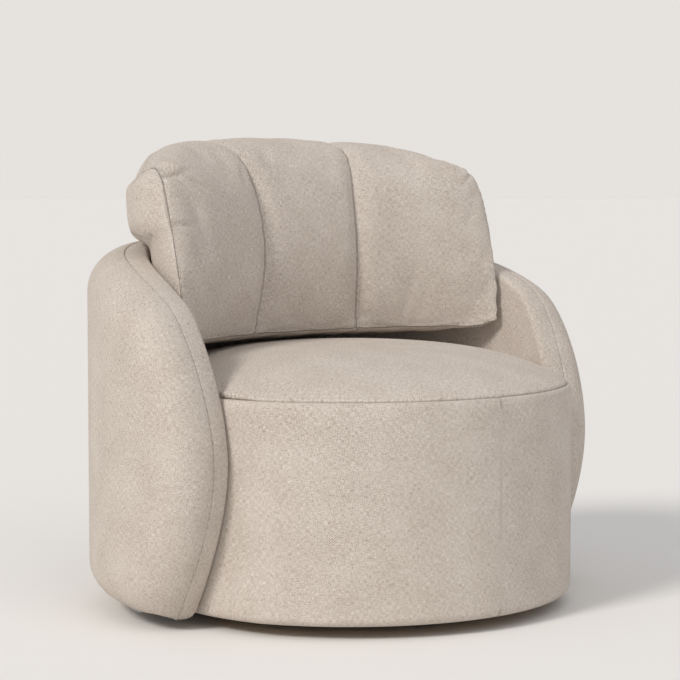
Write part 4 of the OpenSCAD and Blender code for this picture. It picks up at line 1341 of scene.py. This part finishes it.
class InnerWorks:
    """What the covers hide and what shows under the chair: the CAD's own solids, each with the
    material that it is made of."""

    def dress(self) -> None:
        """Gives each carried-over node its material."""
        groups = {
            PLYWOOD: ("bottom_board", "foot_ring", "seat_posts", "seat_ring", "tub_bottom_rail",
                      "tub_middle_rail", "tub_top_rail", "tub_uprights", "tub_back_struts",
                      "wing_formers"),
            FIBREBOARD: ("seat_wrap_board", "tub_inner_board", "tub_outer_board"),
            WEBBING: ("seat_webbing",),
            DUST_CLOTH: ("dust_cover",),
            ZINC_STEEL: ("swivel_lower_plate", "swivel_upper_plate", "swivel_balls",
                         "base_screws", "swivel_bolts", "joining_plates", "joining_screws"),
            POWDER_COAT: ("base_plate",),
            FELT: ("floor_glides",),
            NYLON: ("swivel_ball_cage",),
        }
        for finish, nodes in groups.items():
            material = finish.material()
            for name in nodes:
                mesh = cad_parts[name].data
                mesh.materials.clear()
                mesh.materials.append(material)
                log.info("%s is %s", name, finish.name)


@dataclass
class Studio:
    """A pale floor, soft lamps and a camera at the photograph's place."""

    turn: float = 40.5
    turn_aside: float = 0.609
    pitch: float = 4.206
    distance: float = 3.6637
    height: float = 0.6820
    centre_y: float = -0.060
    lens: float = 124.69
    floor_half: float = 40.0
    floor_colour: str = "F1EFEB"
    backdrop_colour: str = "E6E2DE"

    def camera(self) -> None:
        """Sets the camera: it stands on a line through the tub's axis, looks down by the pitch,
        and turns a little aside of the axis, which the photograph shows right of the middle."""
        data = bpy.data.cameras.new("camera")
        data.sensor_width = 36
        data.lens = self.lens
        data.clip_end = 50
        camera = add_object("camera", data)
        a = math.radians(self.turn)
        camera.location = (-math.sin(a) * self.distance,
                           -math.cos(a) * self.distance + self.centre_y, self.height)
        look = math.radians(self.turn - self.turn_aside)
        camera.rotation_euler = (math.radians(90 - self.pitch), 0, -look)
        bpy.context.scene.camera = camera

    def lamp(self, name: str, turn: float, rise: float, spread: float, strength: float,
             colour: str) -> None:
        """Adds a far, wide lamp that lights the chair and the floor evenly.

        Args:
            name: Name of the lamp.
            turn: Degrees from straight ahead of the chair, positive to the chair's +X side.
            rise: Degrees above the floor.
            spread: Width of the lamp as seen from the chair, in degrees.
            strength: Light on a surface that faces it, in watts per square metre.
            colour: Hex colour.
        """
        data = bpy.data.lights.new(name, "SUN")
        data.angle = math.radians(spread)
        data.energy = strength
        data.color = linear(colour)[:3]
        lamp = add_object(name, data)
        lamp.rotation_euler = (math.pi / 2 - math.radians(rise), 0, math.radians(turn))

    def floor(self) -> None:
        """Lays the floor, pale where the camera sees it and the lamps light it."""
        corners = [(x * self.floor_half, y * self.floor_half, 0)
                   for x, y in ((-1, -1), (1, -1), (1, 1), (-1, 1))]
        mesh = bpy.data.meshes.new("floor")
        mesh.from_pydata(corners, [], [[0, 1, 2, 3]])
        material, _, shader = new_material("pale_floor")
        shader.inputs["Base Color"].default_value = linear(self.floor_colour)
        shader.inputs["Roughness"].default_value = 0.9
        shader.inputs["Specular IOR Level"].default_value = 0.1
        mesh.materials.append(material)
        floor = add_object("floor", mesh)

    def world(self) -> None:
        """Sets an even pale surround: seen directly it is the floor's colour, and it lights the
        chair softly."""
        world = bpy.data.worlds.new("studio")
        bpy.context.scene.world = world
        world.use_nodes = True
        tree = world.node_tree
        tree.nodes.clear()
        path = add_node(tree, "ShaderNodeLightPath")
        glossy = add_node(tree, "ShaderNodeMath",
                          {0: path.outputs["Is Camera Ray"], 1: path.outputs["Is Glossy Ray"]},
                          operation="MAXIMUM")
        seen = add_node(tree, "ShaderNodeMath",
                        {0: glossy.outputs[0], 1: path.outputs["Is Transmission Ray"]},
                        operation="MAXIMUM")
        light = add_node(tree, "ShaderNodeBackground",
                         {"Color": linear("FBFBFF"), "Strength": 0.5})
        pale = add_node(tree, "ShaderNodeBackground",
                        {"Color": linear(self.backdrop_colour), "Strength": 1.0})
        mix = add_node(tree, "ShaderNodeMixShader",
                       {0: seen.outputs[0], 1: light.outputs[0], 2: pale.outputs[0]})
        add_node(tree, "ShaderNodeOutputWorld", {"Surface": mix.outputs[0]})

    def build(self) -> None:
        """Sets up the camera, the lamps, the floor and the surround."""
        self.camera()
        self.floor()
        self.world()
        self.lamp("key", -80, 36, 14, 1.7, "FFFBF6")
        self.lamp("front", -20, 48, 50, 0.45, "FFFFFF")
        bpy.context.scene.view_settings.view_transform = "Standard"


def main() -> None:
    """Builds the studio, the chair's covers, its cushion and its inner works, in that order."""
    logging.basicConfig(level=logging.INFO, format="%(name)s: %(message)s")
    Studio().build()
    weave = MelangeWeave().material()
    # Each seam's distance attribute, and how strongly painted shade darkens its crease.
    seams = (("channel_gap", 0.22), ("edge_gap", 0.42))
    sewn = MelangeWeave("melange_chenille_sewn_painted_shade").material(seams)
    for part in (TubShell(weave), SeatDrum(weave, THREAD.material()), BackCushion(sewn)):
        for piece in part.build():
            log.info("%s: %d faces", piece.name, len(piece.data.polygons))
    InnerWorks().dress()


if __name__ == "__main__":
    main()
